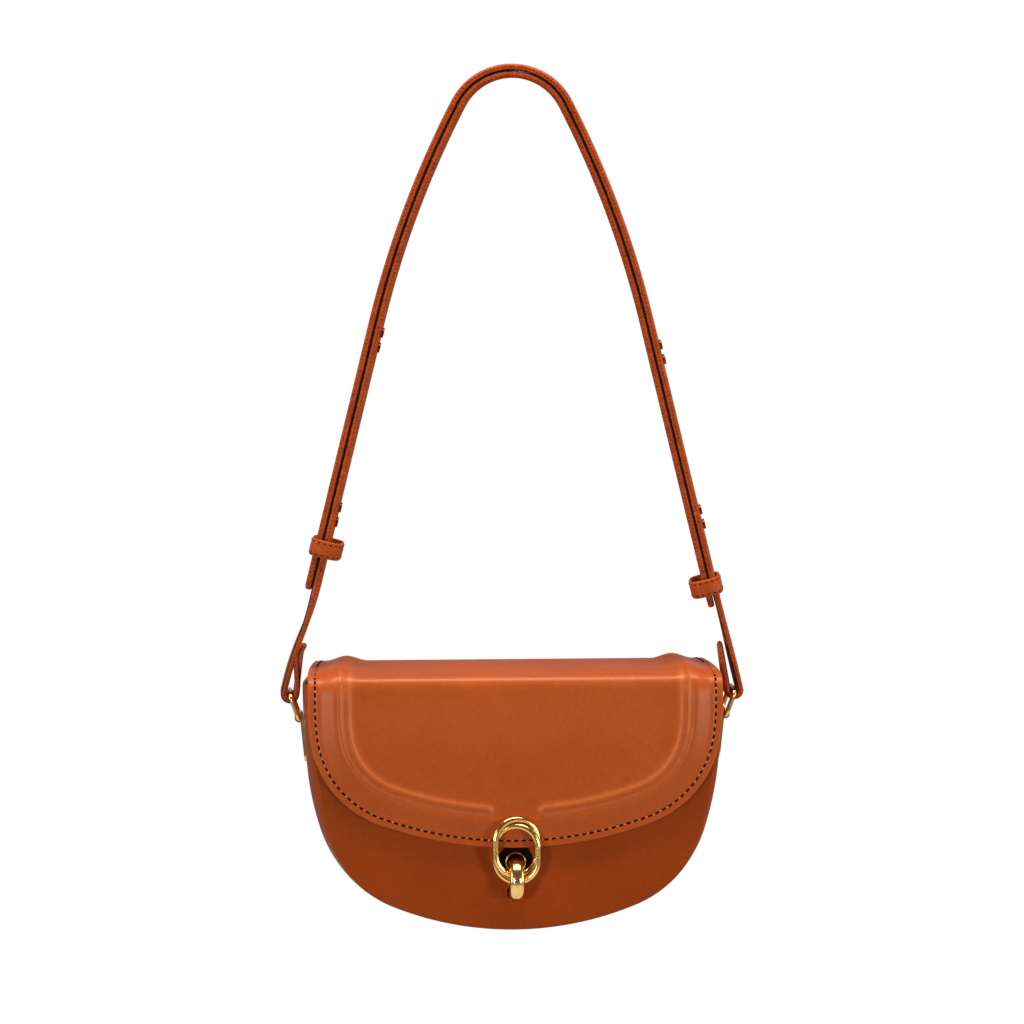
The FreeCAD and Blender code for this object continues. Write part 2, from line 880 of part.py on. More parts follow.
def build_straps():
    inner = round_tip(strap_solid(inner_strap_route()), inner_strap_route().point)
    outer_start = outer_strap_route().pieces[0][0]
    outer = round_tip(strap_solid(outer_strap_route()), outer_start)
    left_holes = [mirror_x(hole) for hole in stud_holes(left_stud_rises)]
    holes = Part.makeCompound(stud_holes(right_stud_rises) + left_holes)
    near = fold_cylinder(fold_joint_radius - fold_joint_gap / 2)
    far = fold_cylinder(fold_joint_radius + fold_joint_gap / 2)
    save("strap_inner", inner.cut(holes).cut(far))
    save("strap_outer", outer.cut(holes).cut(far))
    save("left_strap_loop", inner.common(near))
    save("right_strap_loop", outer.common(near))


def build_strap_fittings():
    left = [mirror_x(stud(rise, False)) for rise in stud_places(left_stud_rises)]
    right = [stud(rise, True) for rise in stud_places(right_stud_rises)]
    save("left_studs", Part.makeCompound(left))
    save("right_studs", Part.makeCompound(right))
    save("left_spacers", Part.makeCompound([mirror_x(spacer(rise)) for rise in left_stud_rises]))
    save("right_spacers", Part.makeCompound([spacer(rise) for rise in right_stud_rises]))
    save("left_keeper", mirror_x(keeper(left_keeper_rise)))
    save("right_keeper", keeper(right_keeper_rise))


def build_sides():
    rivets = plate_rivets()
    save("right_ring", ring())
    save("left_ring", mirror_x(ring()))
    save("right_plate", side_plate())
    save("left_plate", mirror_x(side_plate()))
    save("right_plate_rivets", Part.makeCompound(rivets))
    save("left_plate_rivets", Part.makeCompound([mirror_x(rivet) for rivet in rivets]))
    save("right_backing_plate", backing_plate())
    save("left_backing_plate", mirror_x(backing_plate()))


def build_body():
    save("front_panel", front_panel())
    save("back_panel", back_panel())
    save("gusset", gusset())
    save("front_board", front_board())
    save("back_board", board(gusset_width / 2 - board_thickness))
    save("base_board", base_board())
    save("lining", lining())


def build_flap():
    posts = Part.makeCompound(post_rods(post_radius + post_clearance, flap_face_y - overrun, clasp_plate_y))
    save("flap_root", flap_root())
    save("flap_top", flap_top())
    save("flap_top_lining", flap_top_lining())
    save("flap_front", flap_front().cut(posts))
    save("flap_padding", flap_padding_layer())
    save("flap_front_lining", flap_front_lining())


def build_clasp():
    save("clasp_ring_upper", clasp_ring(upper_ring_z, clasp_lean))
    save("clasp_ring_lower", clasp_ring(lower_ring_z, -clasp_lean))
    save("clasp_link", clasp_link())
    save("clasp_posts", Part.makeCompound(clasp_posts()))
    save("clasp_back_plate", clasp_plate())
    save("clasp_ferrule", socket_ring(upper_socket_z, ferrule_wall, ferrule_height))
    save("clasp_seat", socket_ring(lower_socket_z, seat_wall, seat_height))
    save("clasp_magnet", clasp_magnet())
    save("magnet_washer", magnet_washer())


os.makedirs("parts", exist_ok=True)
build_straps()
build_strap_fittings()
build_sides()
build_body()
build_flap()
build_clasp()
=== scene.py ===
import bmesh
import bpy
import math
import numpy as np
from mathutils import Matrix, Vector


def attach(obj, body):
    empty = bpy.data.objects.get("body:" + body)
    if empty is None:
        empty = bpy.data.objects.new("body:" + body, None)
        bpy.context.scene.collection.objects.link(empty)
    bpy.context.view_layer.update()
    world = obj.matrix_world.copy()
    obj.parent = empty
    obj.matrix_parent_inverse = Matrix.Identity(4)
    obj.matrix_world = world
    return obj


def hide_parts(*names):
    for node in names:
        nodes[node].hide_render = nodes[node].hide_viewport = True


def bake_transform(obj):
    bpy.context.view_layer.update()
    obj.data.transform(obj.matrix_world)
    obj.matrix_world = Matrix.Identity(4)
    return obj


# A half-moon saddle bag in smooth tan leather, hanging from its shoulder strap.
# Sizes are in millimetres and turned to metres when a mesh is made.

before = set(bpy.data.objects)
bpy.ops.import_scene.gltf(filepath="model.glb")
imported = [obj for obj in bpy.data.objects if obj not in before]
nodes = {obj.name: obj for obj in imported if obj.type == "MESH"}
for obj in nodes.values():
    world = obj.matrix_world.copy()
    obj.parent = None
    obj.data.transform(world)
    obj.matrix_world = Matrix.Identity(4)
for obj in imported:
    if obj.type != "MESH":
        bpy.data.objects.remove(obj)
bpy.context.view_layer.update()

millimetre = 0.001

# Strap
strap_width = 18.0
strap_thickness = 3.2
strap_gap = 1.0
strap_rounding = 1.2
# Depth of the dark rim beside the other layer: painted shade of the gap between the layers.
gap_shade_depth = 0.75
facing_swell = 0.45
swell_start_rise = 30.0
swell_full_rise = 60.0
crown_radius = 28.0
crown_turn = 62.5
shoulder_radius = 510.0
inner_tip_rise = 45.4
outer_tip_rise = 55.8
tip_rounding = 7.0
tip_half_width = 0.5
tip_thin_share = 0.03
tip_shares = (0.02, 0.07, 0.14, 0.24, 0.4, 0.6, 0.8)
cross_over_rise = 4.0
cross_over_length = 54.0
loop_clearance = 0.45
loop_turn = 185.0
left_tab_length = 20.0
right_tab_length = 25.0
tab_curl_radius = 9.0
tab_curl_turn = 38.0
strap_twist = 6.0
left_tab_twist = 10.0
right_tab_twist = -4.0
left_tab_shift = 2.0
tab_twist_lead = 4.0
tab_twist_end = 2.0
twist_start_rise = 12.0
twist_full_rise = 60.0
strap_stitch_inset = 2.2
strap_stitch_pitch = 4.2
strap_stitch_length = 2.6
strap_stitch_sink = 0.2
strap_stitch_margin = 4.0
strap_stitch_radius = 0.22
edge_stitch_offset = 0.3
edge_stitch_pitch = 2.1
edge_stitch_length = 1.15
edge_stitch_radius = 0.26
edge_stitch_sink = 0.06

# Rings
ring_wire_radius = 1.3
bar_x = 118.067
bar_z = -324.0245

# Keepers
keeper_height = 9.3
keeper_wall = 1.7
keeper_half_width = 6.6
keeper_half_depth = 11.0
keeper_power = 3.4
keeper_centre_out = -4.3
keeper_bulge = 0.35
keeper_rim = 0.5
keeper_rim_step = 0.1
keeper_rim_shares = (0.85, 0.5, 0.15)
left_keeper_rise = 79.4
right_keeper_rise = 57.4
keeper_stitch_inset = 1.5
keeper_stitch_pitch = 3.1
keeper_stitch_length = 1.9
keeper_stitch_radius = 0.24

# Bag body
mouth_z = -321.5
body_height = 128.0
bottom_z = mouth_z - body_height
bottom_radius = 170.0
bottom_turn = 22.5
corner_radius = 62.0
corner_turn = 75.0
side_radius = 297.0
gusset_width = 58.0
gusset_thickness = 2.2
gusset_bulge = 2.2
gusset_bulge_power = 3.5
gusset_full = 1.9
gusset_full_z = -382.0
gusset_full_reach = 30.0
gusset_front_rise = 4.0
front_rise_start_share = 0.1
front_rise_full_share = 0.9
hem_angles = (30.0, 60.0, 90.0)
hem_close_share = 0.02
merge_gap = 0.03
panel_thickness = 2.0
panel_inset = 2.0
panel_rounding = 1.7
panel_puff = 0.3
panel_puff_reach = 30.0
front_y = -gusset_width / 2 - panel_thickness
lining_inset = 3.7
lining_thickness = 0.8
lining_half_depth = 26.3
lining_rise = 4.5
lining_wall_gap = 0.2
lining_slack = 0.35
lining_slack_start = 2.0
lining_slack_end = 14.0
lining_wave_across = 9.0
lining_wave_down = 14.0

# Flap
flap_top_z = -310.5
flap_face_y = -35.5
flap_back_y = 33.0
front_fold_radius = 12.0
back_fold_radius = 10.0
top_crown = 0.9
fold_drop = 2.9
fold_power = 7.0
border_fold_spread = 5.5
panel_fold_spread = 2.4
slope_step = 0.25
flap_front_height = 92.2
flap_bottom_z = flap_top_z - flap_front_height
flap_bottom_radius = 208.0
flap_bottom_turn = 20.1
flap_corner_radius = 56.3
flap_corner_turn = 81.2
flap_side_radius = 112.0
flap_back_half_width = 103.0
flap_shoulder_power = 2.2
flap_root_length = 36.0
flap_root_rounding = 18.0
flap_edge_thickness = 3.0
flap_front_thickness = 3.9
flap_top_thickness = 2.8
flap_root_thickness = 1.95
front_thick_drop = 6.0
root_thin_rise = 4.0
fold_thin_share = 0.45
fold_thin_rise = 4.0
fold_thin_reach = 9.0
edge_thin_start = 2.0
edge_thin_end = 8.0
rim_reach = 0.9
rim_angles = (25.0, 55.0, 90.0, 125.0, 155.0)
stitch_inset = 3.9
stitch_pitch = 4.0
stitch_length = 2.5
stitch_radius = 0.48
pucker_length = 1.1
pucker_radius = 0.5
stitch_channel_depth = 0.28
stitch_channel_width = 0.8

# Moulded relief of the flap, by distance from its edge and height over its lowest point or fold
band_start = 5.6
band_crest = 14.8
band_end = 17.0
band_height = 1.8
band_fall_share = 0.3
band_low_share = 0.6
band_low_rise = 8.0
band_full_rise = 62.0
band_top_rise = 14.0
band_top_drop = 4.0
wide_band_start = 6.0
wide_band_crest = 17.0
wide_band_end = 28.0
wide_band_height = 2.6
root_band_fall_share = 0.85
root_band_fall_reach = 6.0
rib_line = 19.8
rib_flat = 1.0
rib_half_width = 3.4
rib_height = 0.65
rib_end_x = 15.0
rib_outer_spread = 1.0
rib_inner_spread = 1.8
# The painted highlight lines beside the rib and the painted shade in the valley are placed by the values
# below.
rib_crease = 2.4
rib_highlight_rise = 2.0
panel_start = 17.0
panel_end = 24.0
panel_rise = 0.35
valley_line = 15.8
valley_spread = 1.3
valley_shade_share = 0.5
valley_low_rise = 20.0
valley_full_rise = 60.0
panel_crown = 0.8
panel_crown_reach = 52.0
panel_crown_drop = 40.0
top_line_rise = 5.5

# Clasp rings, link, the sockets for its prongs and the dark patch behind the upper one, which is painted
# shadow under the flap's edge and the rings
clasp_wire = 1.65
clasp_half_width = 11.2
clasp_half_height = 14.8
clasp_y = -39.2
upper_ring_z = -401.45
lower_ring_z = -405.05
link_width = 7.8
link_thickness = 5.8
link_power = 2.2
link_centre_y = -37.2
link_prong_y = -29.4
link_throat_y = -31.0
link_taper = 3.0
link_throat_share = 0.8
shadow_patch_radius = 9.4
shadow_patch_hole = 5.2
shadow_patch_thickness = 0.3
rim_radius = 5.0
rim_wire = 0.45
rim_y = -32.3
socket_radius = 4.6
socket_depth = 20.0
upper_socket_z = -410.72
lower_socket_z = -427.12

# Fineness of the meshes: steps along lines, points across and down, and points round a section
strap_step = 2.0
strap_turn_step = 5.0
strap_corner_steps = 4
clasp_step = 0.6
link_step = 0.5
outline_step = 1.0
arc_turn_step = 4.0
outline_turn_step = 1.0
outline_count = 1200
flap_outline_count = 1601
front_panel_grid = (200, 130)
back_panel_grid = (140, 90)
gusset_grid = (260, 25)
lining_strip_grid = (160, 17)
lining_wall_grid = (60, 40)
flap_front_grid = (330, 230)
flap_back_grid = (200, 90)
panel_side_share = 0.3
panel_gather_share = 0.85
flap_front_side_share = 0.33
flap_back_side_share = 0.24
flap_across_gather_share = 0.7
flap_down_gather_share = 0.6
stitch_ahead_share = 0.05
stitch_reach_share = 0.2
keeper_points = 96
keeper_outside_points = 9
keeper_inside_points = 5
front_profile_points = 400
back_profile_points = 60
stitch_points = 6
clasp_points = 20
link_points = 32
socket_points = 72
socket_cut_points = 48
rim_points = 12
floor_points = 96
points_at_once = 4000
smallest_square = 1e-12

# Shape of one stitch, in shares of its half length and of its radius
stitch_run_shares = (-1.0, -0.75, -0.3, 0.3, 0.75, 1.0)
stitch_end_share = 0.2
stitch_rise_share = 0.55
stitch_dip_share = 0.9
stitch_flat_share = 0.8
stitch_lag_share = 0.5
pucker_lag_share = 1.0

# Depth of the fine grain of each finish
leather_grain = 0.06
paint_grain = 0.25
thread_grain = 0.12
cloth_grain = 0.15
metal_grain = 0.02
fibre_grain = 0.2

# Studio and camera, in metres, watts and degrees; the camera is a little left of the bag and above it
floor_radius = 9.0
floor_z = -0.72
floor_mirror_start = 0.85
floor_mirror_end = 1.25
floor_fade_start = 0.8
floor_fade_end = 1.1
room_glow = 0.1
wall_glow = 0.2
back_glow = 0.6
back_fill = 0.4
studio_middle_z = -0.36
side_light_x = 1.1
side_light_y = -0.23
side_light_z = -0.22
side_light_width = 0.4
side_light_height = 0.7
side_light_power = 0.7
side_light_spread = 80.0
left_strip_x = -0.625
left_strip_y = -1.083
right_strip_x = 0.752
right_strip_y = -0.998
strip_light_z = -0.37
strip_light_width = 0.17
strip_light_height = 0.3
strip_light_power = 0.45
strip_light_spread = 60.0
top_light_y = -0.17
top_light_z = 0.55
top_light_width = 1.0
top_light_depth = 0.4
top_light_power = 6.0
top_light_spread = 120.0
camera_turn = -3.5
camera_rise = 6.0
camera_distance = 2.1
view_height = 0.5427
target_z = -0.2287
view_end = 50.0


def smooth_step(value, low, high):
    share = np.clip((value - low) / (high - low), 0.0, 1.0)
    return share * share * (3.0 - 2.0 * share)


def ridge(value, line, spread):
    """A rounded ridge of height one along a line."""
    return np.exp(-((value - line) / spread) ** 2)


def unit(degrees):
    return (math.cos(math.radians(degrees)), math.sin(math.radians(degrees)))


def shift(point, distance, degrees):
    along, up = unit(degrees)
    return (point[0] + distance * along, point[1] + distance * up)


def round_angles(count):
    return np.linspace(0.0, 2 * np.pi, count, endpoint=False)


def rows_of(*values):
    """Rows of coordinates, one from each of the values. A single number goes into every row."""
    return np.stack(np.broadcast_arrays(*values), axis=1)


def normalised(values):
    """A direction, or rows of directions, of length one."""
    return values / np.linalg.norm(values, axis=-1, keepdims=True)


def oval(half_width, half_depth, power, count):
    """Points round an oval, which is squarer at a higher power."""
    c = np.cos(round_angles(count))
    s = np.sin(round_angles(count))
    x = np.sign(c) * np.abs(c) ** (2.0 / power) * half_width
    y = np.sign(s) * np.abs(s) ** (2.0 / power) * half_depth
    return rows_of(x, y)


class Route:
    """Straight runs and tangent arcs in a plane, from a start and a heading."""

    def __init__(self, start, heading):
        self.point = start
        self.heading = heading
        self.pieces = []

    def ahead(self, length):
        self.pieces.append((self.point, self.heading, length, 0.0))
        self.point = shift(self.point, length, self.heading)
        return self

    def bend(self, radius, turn):
        """A positive turn is to the left."""
        self.pieces.append((self.point, self.heading, radius, turn))
        side = math.copysign(90.0, turn)
        centre = shift(self.point, radius, self.heading + side)
        self.heading += turn
        self.point = shift(centre, radius, self.heading - side)
        return self

    def add(self, size, turn):
        if turn:
            return self.bend(size, turn)
        return self.ahead(size)

    def backwards(self):
        back = Route(self.point, self.heading + 180.0)
        for _, _, size, turn in reversed(self.pieces):
            back.add(size, -turn)
        return back

    def mirrored(self):
        first, heading = self.pieces[0][:2]
        other = Route((-first[0], first[1]), 180.0 - heading)
        for _, _, size, turn in self.pieces:
            other.add(size, -turn)
        return other

    def join(self, other):
        for _, _, size, turn in other.pieces:
            self.add(size, turn)
        return self

    def walk(self, step, turn_step):
        """Points and headings along the route, about a step apart."""
        points = []
        headings = []
        for start, heading, size, turn in self.pieces:
            length = abs(math.radians(turn)) * size if turn else size
            count = max(1, int(length / step), int(abs(turn) / turn_step))
            side = math.copysign(90.0, turn)
            centre = shift(start, size, heading + side)
            for index in range(count):
                share = index / count
                here = heading + turn * share
                if turn:
                    points.append(shift(centre, size, here - side))
                else:
                    points.append(shift(start, size * share, heading))
                headings.append(here)
        points.append(self.point)
        headings.append(self.heading)
        return np.array(points), np.radians(np.array(headings))


# Lines

def line_reach(line):
    """The length of a polyline up to each of its points."""
    steps = np.linalg.norm(np.diff(line, axis=0), axis=1)
    return np.concatenate([[0.0], np.cumsum(steps)])


def pick(values, reach, wanted):
    """Rows of values, known at each reach, at the wanted ones."""
    return rows_of(*(np.interp(wanted, reach, column) for column in values.T))


def at_shares(line, shares):
    """Points at given shares of a polyline's length."""
    reach = line_reach(line)
    return pick(line, reach, np.asarray(shares) * reach[-1])


def resample(line, count):
    """A polyline cut into equal shares of its length."""
    return at_shares(line, np.linspace(0.0, 1.0, count))


def distance_to_line(points, line):
    """Each point's distance to the nearest place on a polyline."""
    start = line[:-1]
    run = np.diff(line, axis=0)
    size = (run ** 2).sum(1) + smallest_square
    best = []
    for some in np.array_split(points, len(points) // points_at_once + 1):
        gap = some[:, None, :] - start[None]
        share = np.clip((gap * run[None]).sum(2) / size[None], 0.0, 1.0)
        off = gap - share[..., None] * run[None]
        best.append(np.sqrt((off ** 2).sum(2).min(1)))
    return np.concatenate(best)


def left_of(line):
    """Directions to the left of a polyline, at its points."""
    x, y = normalised(np.gradient(line, axis=0)).T
    return rows_of(-y, x)


def edge_spread(count, gather):
    """Shares from 0 to 1 that lie closer together towards both ends."""
    even = np.linspace(-1.0, 1.0, count)
    drawn = (1.0 - gather) * even + gather * np.sin(even * np.pi / 2)
    return (drawn + 1.0) / 2


def end_spread(count, gather):
    """Shares from 0 to 1 that lie closer together towards 1."""
    even = np.linspace(0.0, 1.0, count)
    return (1.0 - gather) * even + gather * np.sin(even * np.pi / 2)


def outline_grid(line, side_share, across, down):
    """Rows of points over the region inside an outline that runs from its left top to its right top.

    Each side takes a share of the outline. across and down are shares, too.
    """
    fine = resample(line, outline_count + 1)
    first = int(outline_count * side_share)
    left = at_shares(fine[:first + 1], down)
    bottom = fine[first:outline_count + 1 - first]
    right = at_shares(fine[outline_count - first:][::-1], down)
    top = np.array([line[0], line[-1]])
    u = np.asarray(across)[None, :, None]
    v = np.asarray(down)[:, None, None]
    ruled_down = (1 - v) * at_shares(top, across)[None] + v * at_shares(bottom, across)[None]
    ruled_across = (1 - u) * left[:, None] + u * right[:, None]
    corners = (1 - u) * (1 - v) * top[0] + u * (1 - v) * top[-1]
    corners = corners + (1 - u) * v * bottom[0] + u * v * bottom[-1]
    return (ruled_down + ruled_across - corners).reshape(-1, 2)


# Meshes

def add_object(name, data):
    piece = bpy.data.objects.new(name, data)
    bpy.context.scene.collection.objects.link(piece)
    return piece


def make_piece(name, points, faces, materials, slots=None, close=False):
    """A smooth-shaded mesh object from millimetre points, its faces turned outwards."""
    mesh = bpy.data.meshes.new(name)
    mesh.from_pydata((np.asarray(points) * millimetre).tolist(), [], faces)
    for material in materials:
        mesh.materials.append(material)
    mesh.polygons.foreach_set("use_smooth", [True] * len(mesh.polygons))
    if slots is not None:
        mesh.polygons.foreach_set("material_index", slots)
    mesh.update()
    mend(mesh, close)
    return add_object(name, mesh)


def mend(mesh, close):
    """Turns faces outwards, and first merges points and fills open rims where asked to."""
    work = bmesh.new()
    work.from_mesh(mesh)
    if close:
        bmesh.ops.remove_doubles(work, verts=work.verts, dist=merge_gap * millimetre)
        rims = [edge for edge in work.edges if len(edge.link_faces) == 1]
        bmesh.ops.holes_fill(work, edges=rims, sides=0)
    bmesh.ops.recalc_face_normals(work, faces=work.faces)
    for face in work.faces:
        face.smooth = True
    work.to_mesh(mesh)
    work.free()


def settle(piece, slot, body, *replaced):
    """Hides the nodes that a piece stands for and hangs it on the body that it rides on. slot is not used.
    """
    if replaced:
        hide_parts(*replaced)
    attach(piece, body)


def bend_between(pieces):
    """Bakes each piece's placement into its mesh."""
    for piece in pieces:
        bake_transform(piece)


def grid_faces(rows, columns, start=0, wrap_rows=False, wrap_columns=False, flip=False):
    faces = []
    for row in range(rows if wrap_rows else rows - 1):
        for column in range(columns if wrap_columns else columns - 1):
            a = start + row * columns + column
            b = start + row * columns + (column + 1) % columns
            c = start + ((row + 1) % rows) * columns + (column + 1) % columns
            d = start + ((row + 1) % rows) * columns + column
            faces.append((a, d, c, b) if flip else (a, b, c, d))
    return faces


def tube_faces(rows, columns, start=0):
    """Faces over rings of points, with a cap at each end."""
    last = start + (rows - 1) * columns
    caps = [tuple(range(start, start + columns))[::-1], tuple(range(last, last + columns))]
    return grid_faces(rows, columns, start, wrap_columns=True) + caps


def tube_piece(name, rings, materials, slots=None, closed=True):
    """A skin over rings of points, which join up in a loop or are capped at both ends."""
    rings = np.asarray(rings)
    rows, columns = rings.shape[:2]
    if closed:
        faces = grid_faces(rows, columns, wrap_rows=True, wrap_columns=True)
    else:
        faces = tube_faces(rows, columns)
    return make_piece(name, rings.reshape(-1, 3), faces, materials, slots)


def boundary_ring(rows, columns):
    """Indices round three sides of a grid: down the left, along the bottom, up the right."""
    left = [row * columns for row in range(rows)]
    bottom = [(rows - 1) * columns + column for column in range(1, columns)]
    right = [row * columns + columns - 1 for row in range(rows - 2, -1, -1)]
    return left + bottom + right


def slab_piece(name, flat, outer_y, inner_y, grid, material):
    """A closed slab over a flat grid of X and Z, between an outer and an inner Y."""
    columns, rows = grid
    count = len(flat)
    x, z = flat.T
    points = np.vstack([rows_of(x, outer_y, z), rows_of(x, inner_y, z)])
    faces = grid_faces(rows, columns) + grid_faces(rows, columns, count, flip=True)
    ring = boundary_ring(rows, columns) + list(range(columns - 2, -1, -1))
    for a, b in zip(ring, ring[1:]):
        faces.append((a, b, b + count, a + count))
    return make_piece(name, points, faces, [material])


def one_stitch(centre, along, normal, length, radius):
    """Points of a raised stitch: a short thread that dips at both ends."""
    along = normalised(along)
    normal = normalised(normal)
    side = np.cross(normal, along)
    points = []
    for share in stitch_run_shares:
        width = radius * max(stitch_end_share, math.sqrt(1.0 - share ** 4))
        rise = radius * (stitch_rise_share - stitch_dip_share * share * share)
        middle = centre + along * share * length / 2 + normal * rise
        for angle in round_angles(stitch_points):
            flat = normal * stitch_flat_share * math.sin(angle)
            points.append(middle + (side * math.cos(angle) + flat) * width)
    return points


def stitch_piece(name, places, length, radius, material):
    points = []
    faces = []
    for centre, along, normal in places:
        faces.extend(tube_faces(len(stitch_run_shares), stitch_points, len(points)))
        points.extend(one_stitch(centre, along, normal, length, radius))
    return make_piece(name, points, faces, [material])


# Materials

def srgb(red, green, blue):
    values = []
    for level in (red, green, blue):
        share = level / 255.0
        values.append(share / 12.92 if share <= 0.04045 else ((share + 0.055) / 1.055) ** 2.4)
    return (values[0], values[1], values[2], 1.0)


# Colour of the painted highlight along the flap's rib.
painted_highlight_colour = srgb(216, 118, 64)


class Nodes:
    """A node tree that is put together step by step."""

    def __init__(self, tree):
        self.nodes = tree.nodes
        self.links = tree.links

    def feed(self, socket, value):
        """Links an output to a socket, or sets the socket's value."""
        if hasattr(value, "links"):
            self.links.new(value, socket)
        else:
            socket.default_value = value

    def add(self, kind, inputs=None, **values):
        node = self.nodes.new(kind)
        for key, value in values.items():
            setattr(node, key, value)
        for key, value in (inputs or {}).items():
            self.feed(node.inputs[key], value)
        return node

    def span(self, source, low, high, from_low=0.0, from_high=1.0):
        ends = {"From Min": from_low, "From Max": from_high, "To Min": low, "To Max": high}
        return self.add("ShaderNodeMapRange", {"Value": source, **ends}).outputs["Result"]

    def total(self, one, two, kind="ADD"):
        return self.add("ShaderNodeMath", {0: one, 1: two}, operation=kind).outputs[0]


class Shader(Nodes):
    """A node material, its patterns laid out in the piece's own space."""

    def __init__(self, name):
        self.material = bpy.data.materials.new(name)
        self.material.use_nodes = True
        super().__init__(self.material.node_tree)
        self.surface = self.nodes["Principled BSDF"]
        self.place = self.add("ShaderNodeTexCoord").outputs["Object"]

    def set(self, **values):
        for key, value in values.items():
            self.feed(self.surface.inputs[key.replace("_", " ")], value)

    def noise(self, scale, detail=3.0, roughness=0.5):
        inputs = {"Scale": scale, "Detail": detail, "Roughness": roughness, "Vector": self.place}
        return self.add("ShaderNodeTexNoise", inputs).outputs["Fac"]

    def cells(self, scale):
        inputs = {"Scale": scale, "Vector": self.place}
        return self.add("ShaderNodeTexVoronoi", inputs, feature="F1").outputs["Distance"]

    def waves(self, scale, distortion, direction):
        inputs = {"Scale": scale, "Distortion": distortion, "Vector": self.place}
        node = self.add("ShaderNodeTexWave", inputs, wave_type="BANDS", bands_direction=direction)
        return node.outputs["Fac"]

    def ramp(self, source, stops):
        node = self.add("ShaderNodeValToRGB", {"Fac": source})
        elements = node.color_ramp.elements
        while len(elements) < len(stops):
            elements.new(0.5)
        for element, (place, colour) in zip(elements, stops):
            element.position = place
            element.color = colour
        return node.outputs["Color"]

    def blend(self, share, one, two, kind="MIX"):
        inputs = {0: share, 6: one, 7: two}
        return self.add("ShaderNodeMix", inputs, data_type="RGBA", blend_type=kind).outputs[2]

    def bump(self, source, strength, depth):
        inputs = {"Strength": strength, "Distance": depth * millimetre, "Height": source}
        self.set(Normal=self.add("ShaderNodeBump", inputs).outputs["Normal"])


def leather(name, base, deep, light, gloss_low, gloss_high, shine):
    """Smooth calf leather: cloudy dye, faint pores and fine creases, with painted highlight and painted
    shade from a point attribute where a piece has one.
    """
    shader = Shader(name)
    cloud = shader.noise(26.0, 4.0, 0.55)
    fine = shader.noise(420.0, 3.0, 0.6)
    pores = shader.cells(1500.0)
    dye = shader.ramp(cloud, [(0.3, deep), (0.5, base), (0.72, light)])
    speck = shader.span(fine, 0.93, 1.07, 0.3, 0.7)
    painted_light_layer = shader.add("ShaderNodeAttribute", attribute_name="painted_light").outputs["Fac"]
    # Painted highlight: paler where the attribute is above zero. Painted shade: deeper where it is below
    # zero.
    highlighted = shader.blend(shader.span(painted_light_layer, 0.0, 0.38), dye, painted_highlight_colour)
    shaded = shader.blend(shader.span(painted_light_layer, 0.45, 0.0, -1.0, 0.0), highlighted, deep)
    grain = shader.total(shader.span(pores, 0.0, 0.6), shader.span(fine, 0.0, 0.6))
    shader.bump(grain, 0.22, leather_grain)
    shader.set(Base_Color=shader.blend(1.0, shaded, speck, "MULTIPLY"))
    shader.set(Roughness=shader.span(cloud, gloss_low, gloss_high, 0.3, 0.7))
    shader.set(Specular_IOR_Level=shine, Specular_Tint=(1.0, 0.78, 0.56, 1.0))
    return shader.material


def edge_paint(name, base, dark, light):
    """Painted raw edges: a rough coat with dark pits and bright specks."""
    shader = Shader(name)
    specks = shader.noise(520.0, 4.0, 0.7)
    wide = shader.noise(110.0, 2.0, 0.5)
    coat = shader.ramp(specks, [(0.3, dark), (0.46, base), (0.62, base), (0.72, light)])
    shade = shader.span(wide, 0.85, 1.12, 0.3, 0.7)
    shader.bump(specks, 0.5, paint_grain)
    shader.set(Base_Color=shader.blend(1.0, coat, shade, "MULTIPLY"))
    shader.set(Roughness=shader.span(wide, 0.36, 0.52, 0.3, 0.7), Specular_IOR_Level=0.15)
    return shader.material


def thread(name, base, light):
    """Twisted sewing thread."""
    shader = Shader(name)
    twist = shader.waves(900.0, 1.5, "DIAGONAL")
    shader.bump(twist, 0.6, thread_grain)
    shader.set(Base_Color=shader.ramp(twist, [(0.2, base), (0.9, light)]))
    shader.set(Roughness=0.7, Specular_IOR_Level=0.03)
    return shader.material


def cloth(name, base, light):
    """Plain woven cloth."""
    shader = Shader(name)
    warp = shader.waves(620.0, 0.4, "X")
    weft = shader.waves(620.0, 0.4, "Z")
    weave = shader.total(warp, weft, "MULTIPLY")
    cloud = shader.noise(60.0, 3.0)
    tone = shader.blend(shader.span(cloud, 0.2, 0.8, 0.3, 0.7), base, light)
    shader.bump(weave, 0.5, cloth_grain)
    shader.set(Base_Color=shader.blend(shader.span(weave, 0.0, 0.55), tone, base))
    shader.set(Roughness=0.8, Specular_IOR_Level=0.2, Sheen_Weight=0.15)
    return shader.material


def polished_metal(name, base, light, gloss_low, gloss_high):
    """Polished plating with faint handling marks."""
    shader = Shader(name)
    cloud = shader.noise(90.0, 3.0)
    marks = shader.noise(1600.0, 2.0)
    shader.bump(marks, 0.06, metal_grain)
    shader.set(Base_Color=shader.blend(shader.span(cloud, 0.0, 1.0, 0.35, 0.65), base, light))
    shader.set(Roughness=shader.span(cloud, gloss_low, gloss_high, 0.3, 0.7), Metallic=1.0)
    return shader.material


def fibre_board(name, base, dark):
    """Pressed fibre board with short fibres."""
    shader = Shader(name)
    fibres = shader.noise(380.0, 5.0, 0.75)
    shader.bump(fibres, 0.5, fibre_grain)
    shader.set(Base_Color=shader.ramp(fibres, [(0.3, dark), (0.65, base)]), Roughness=0.85)
    return shader.material


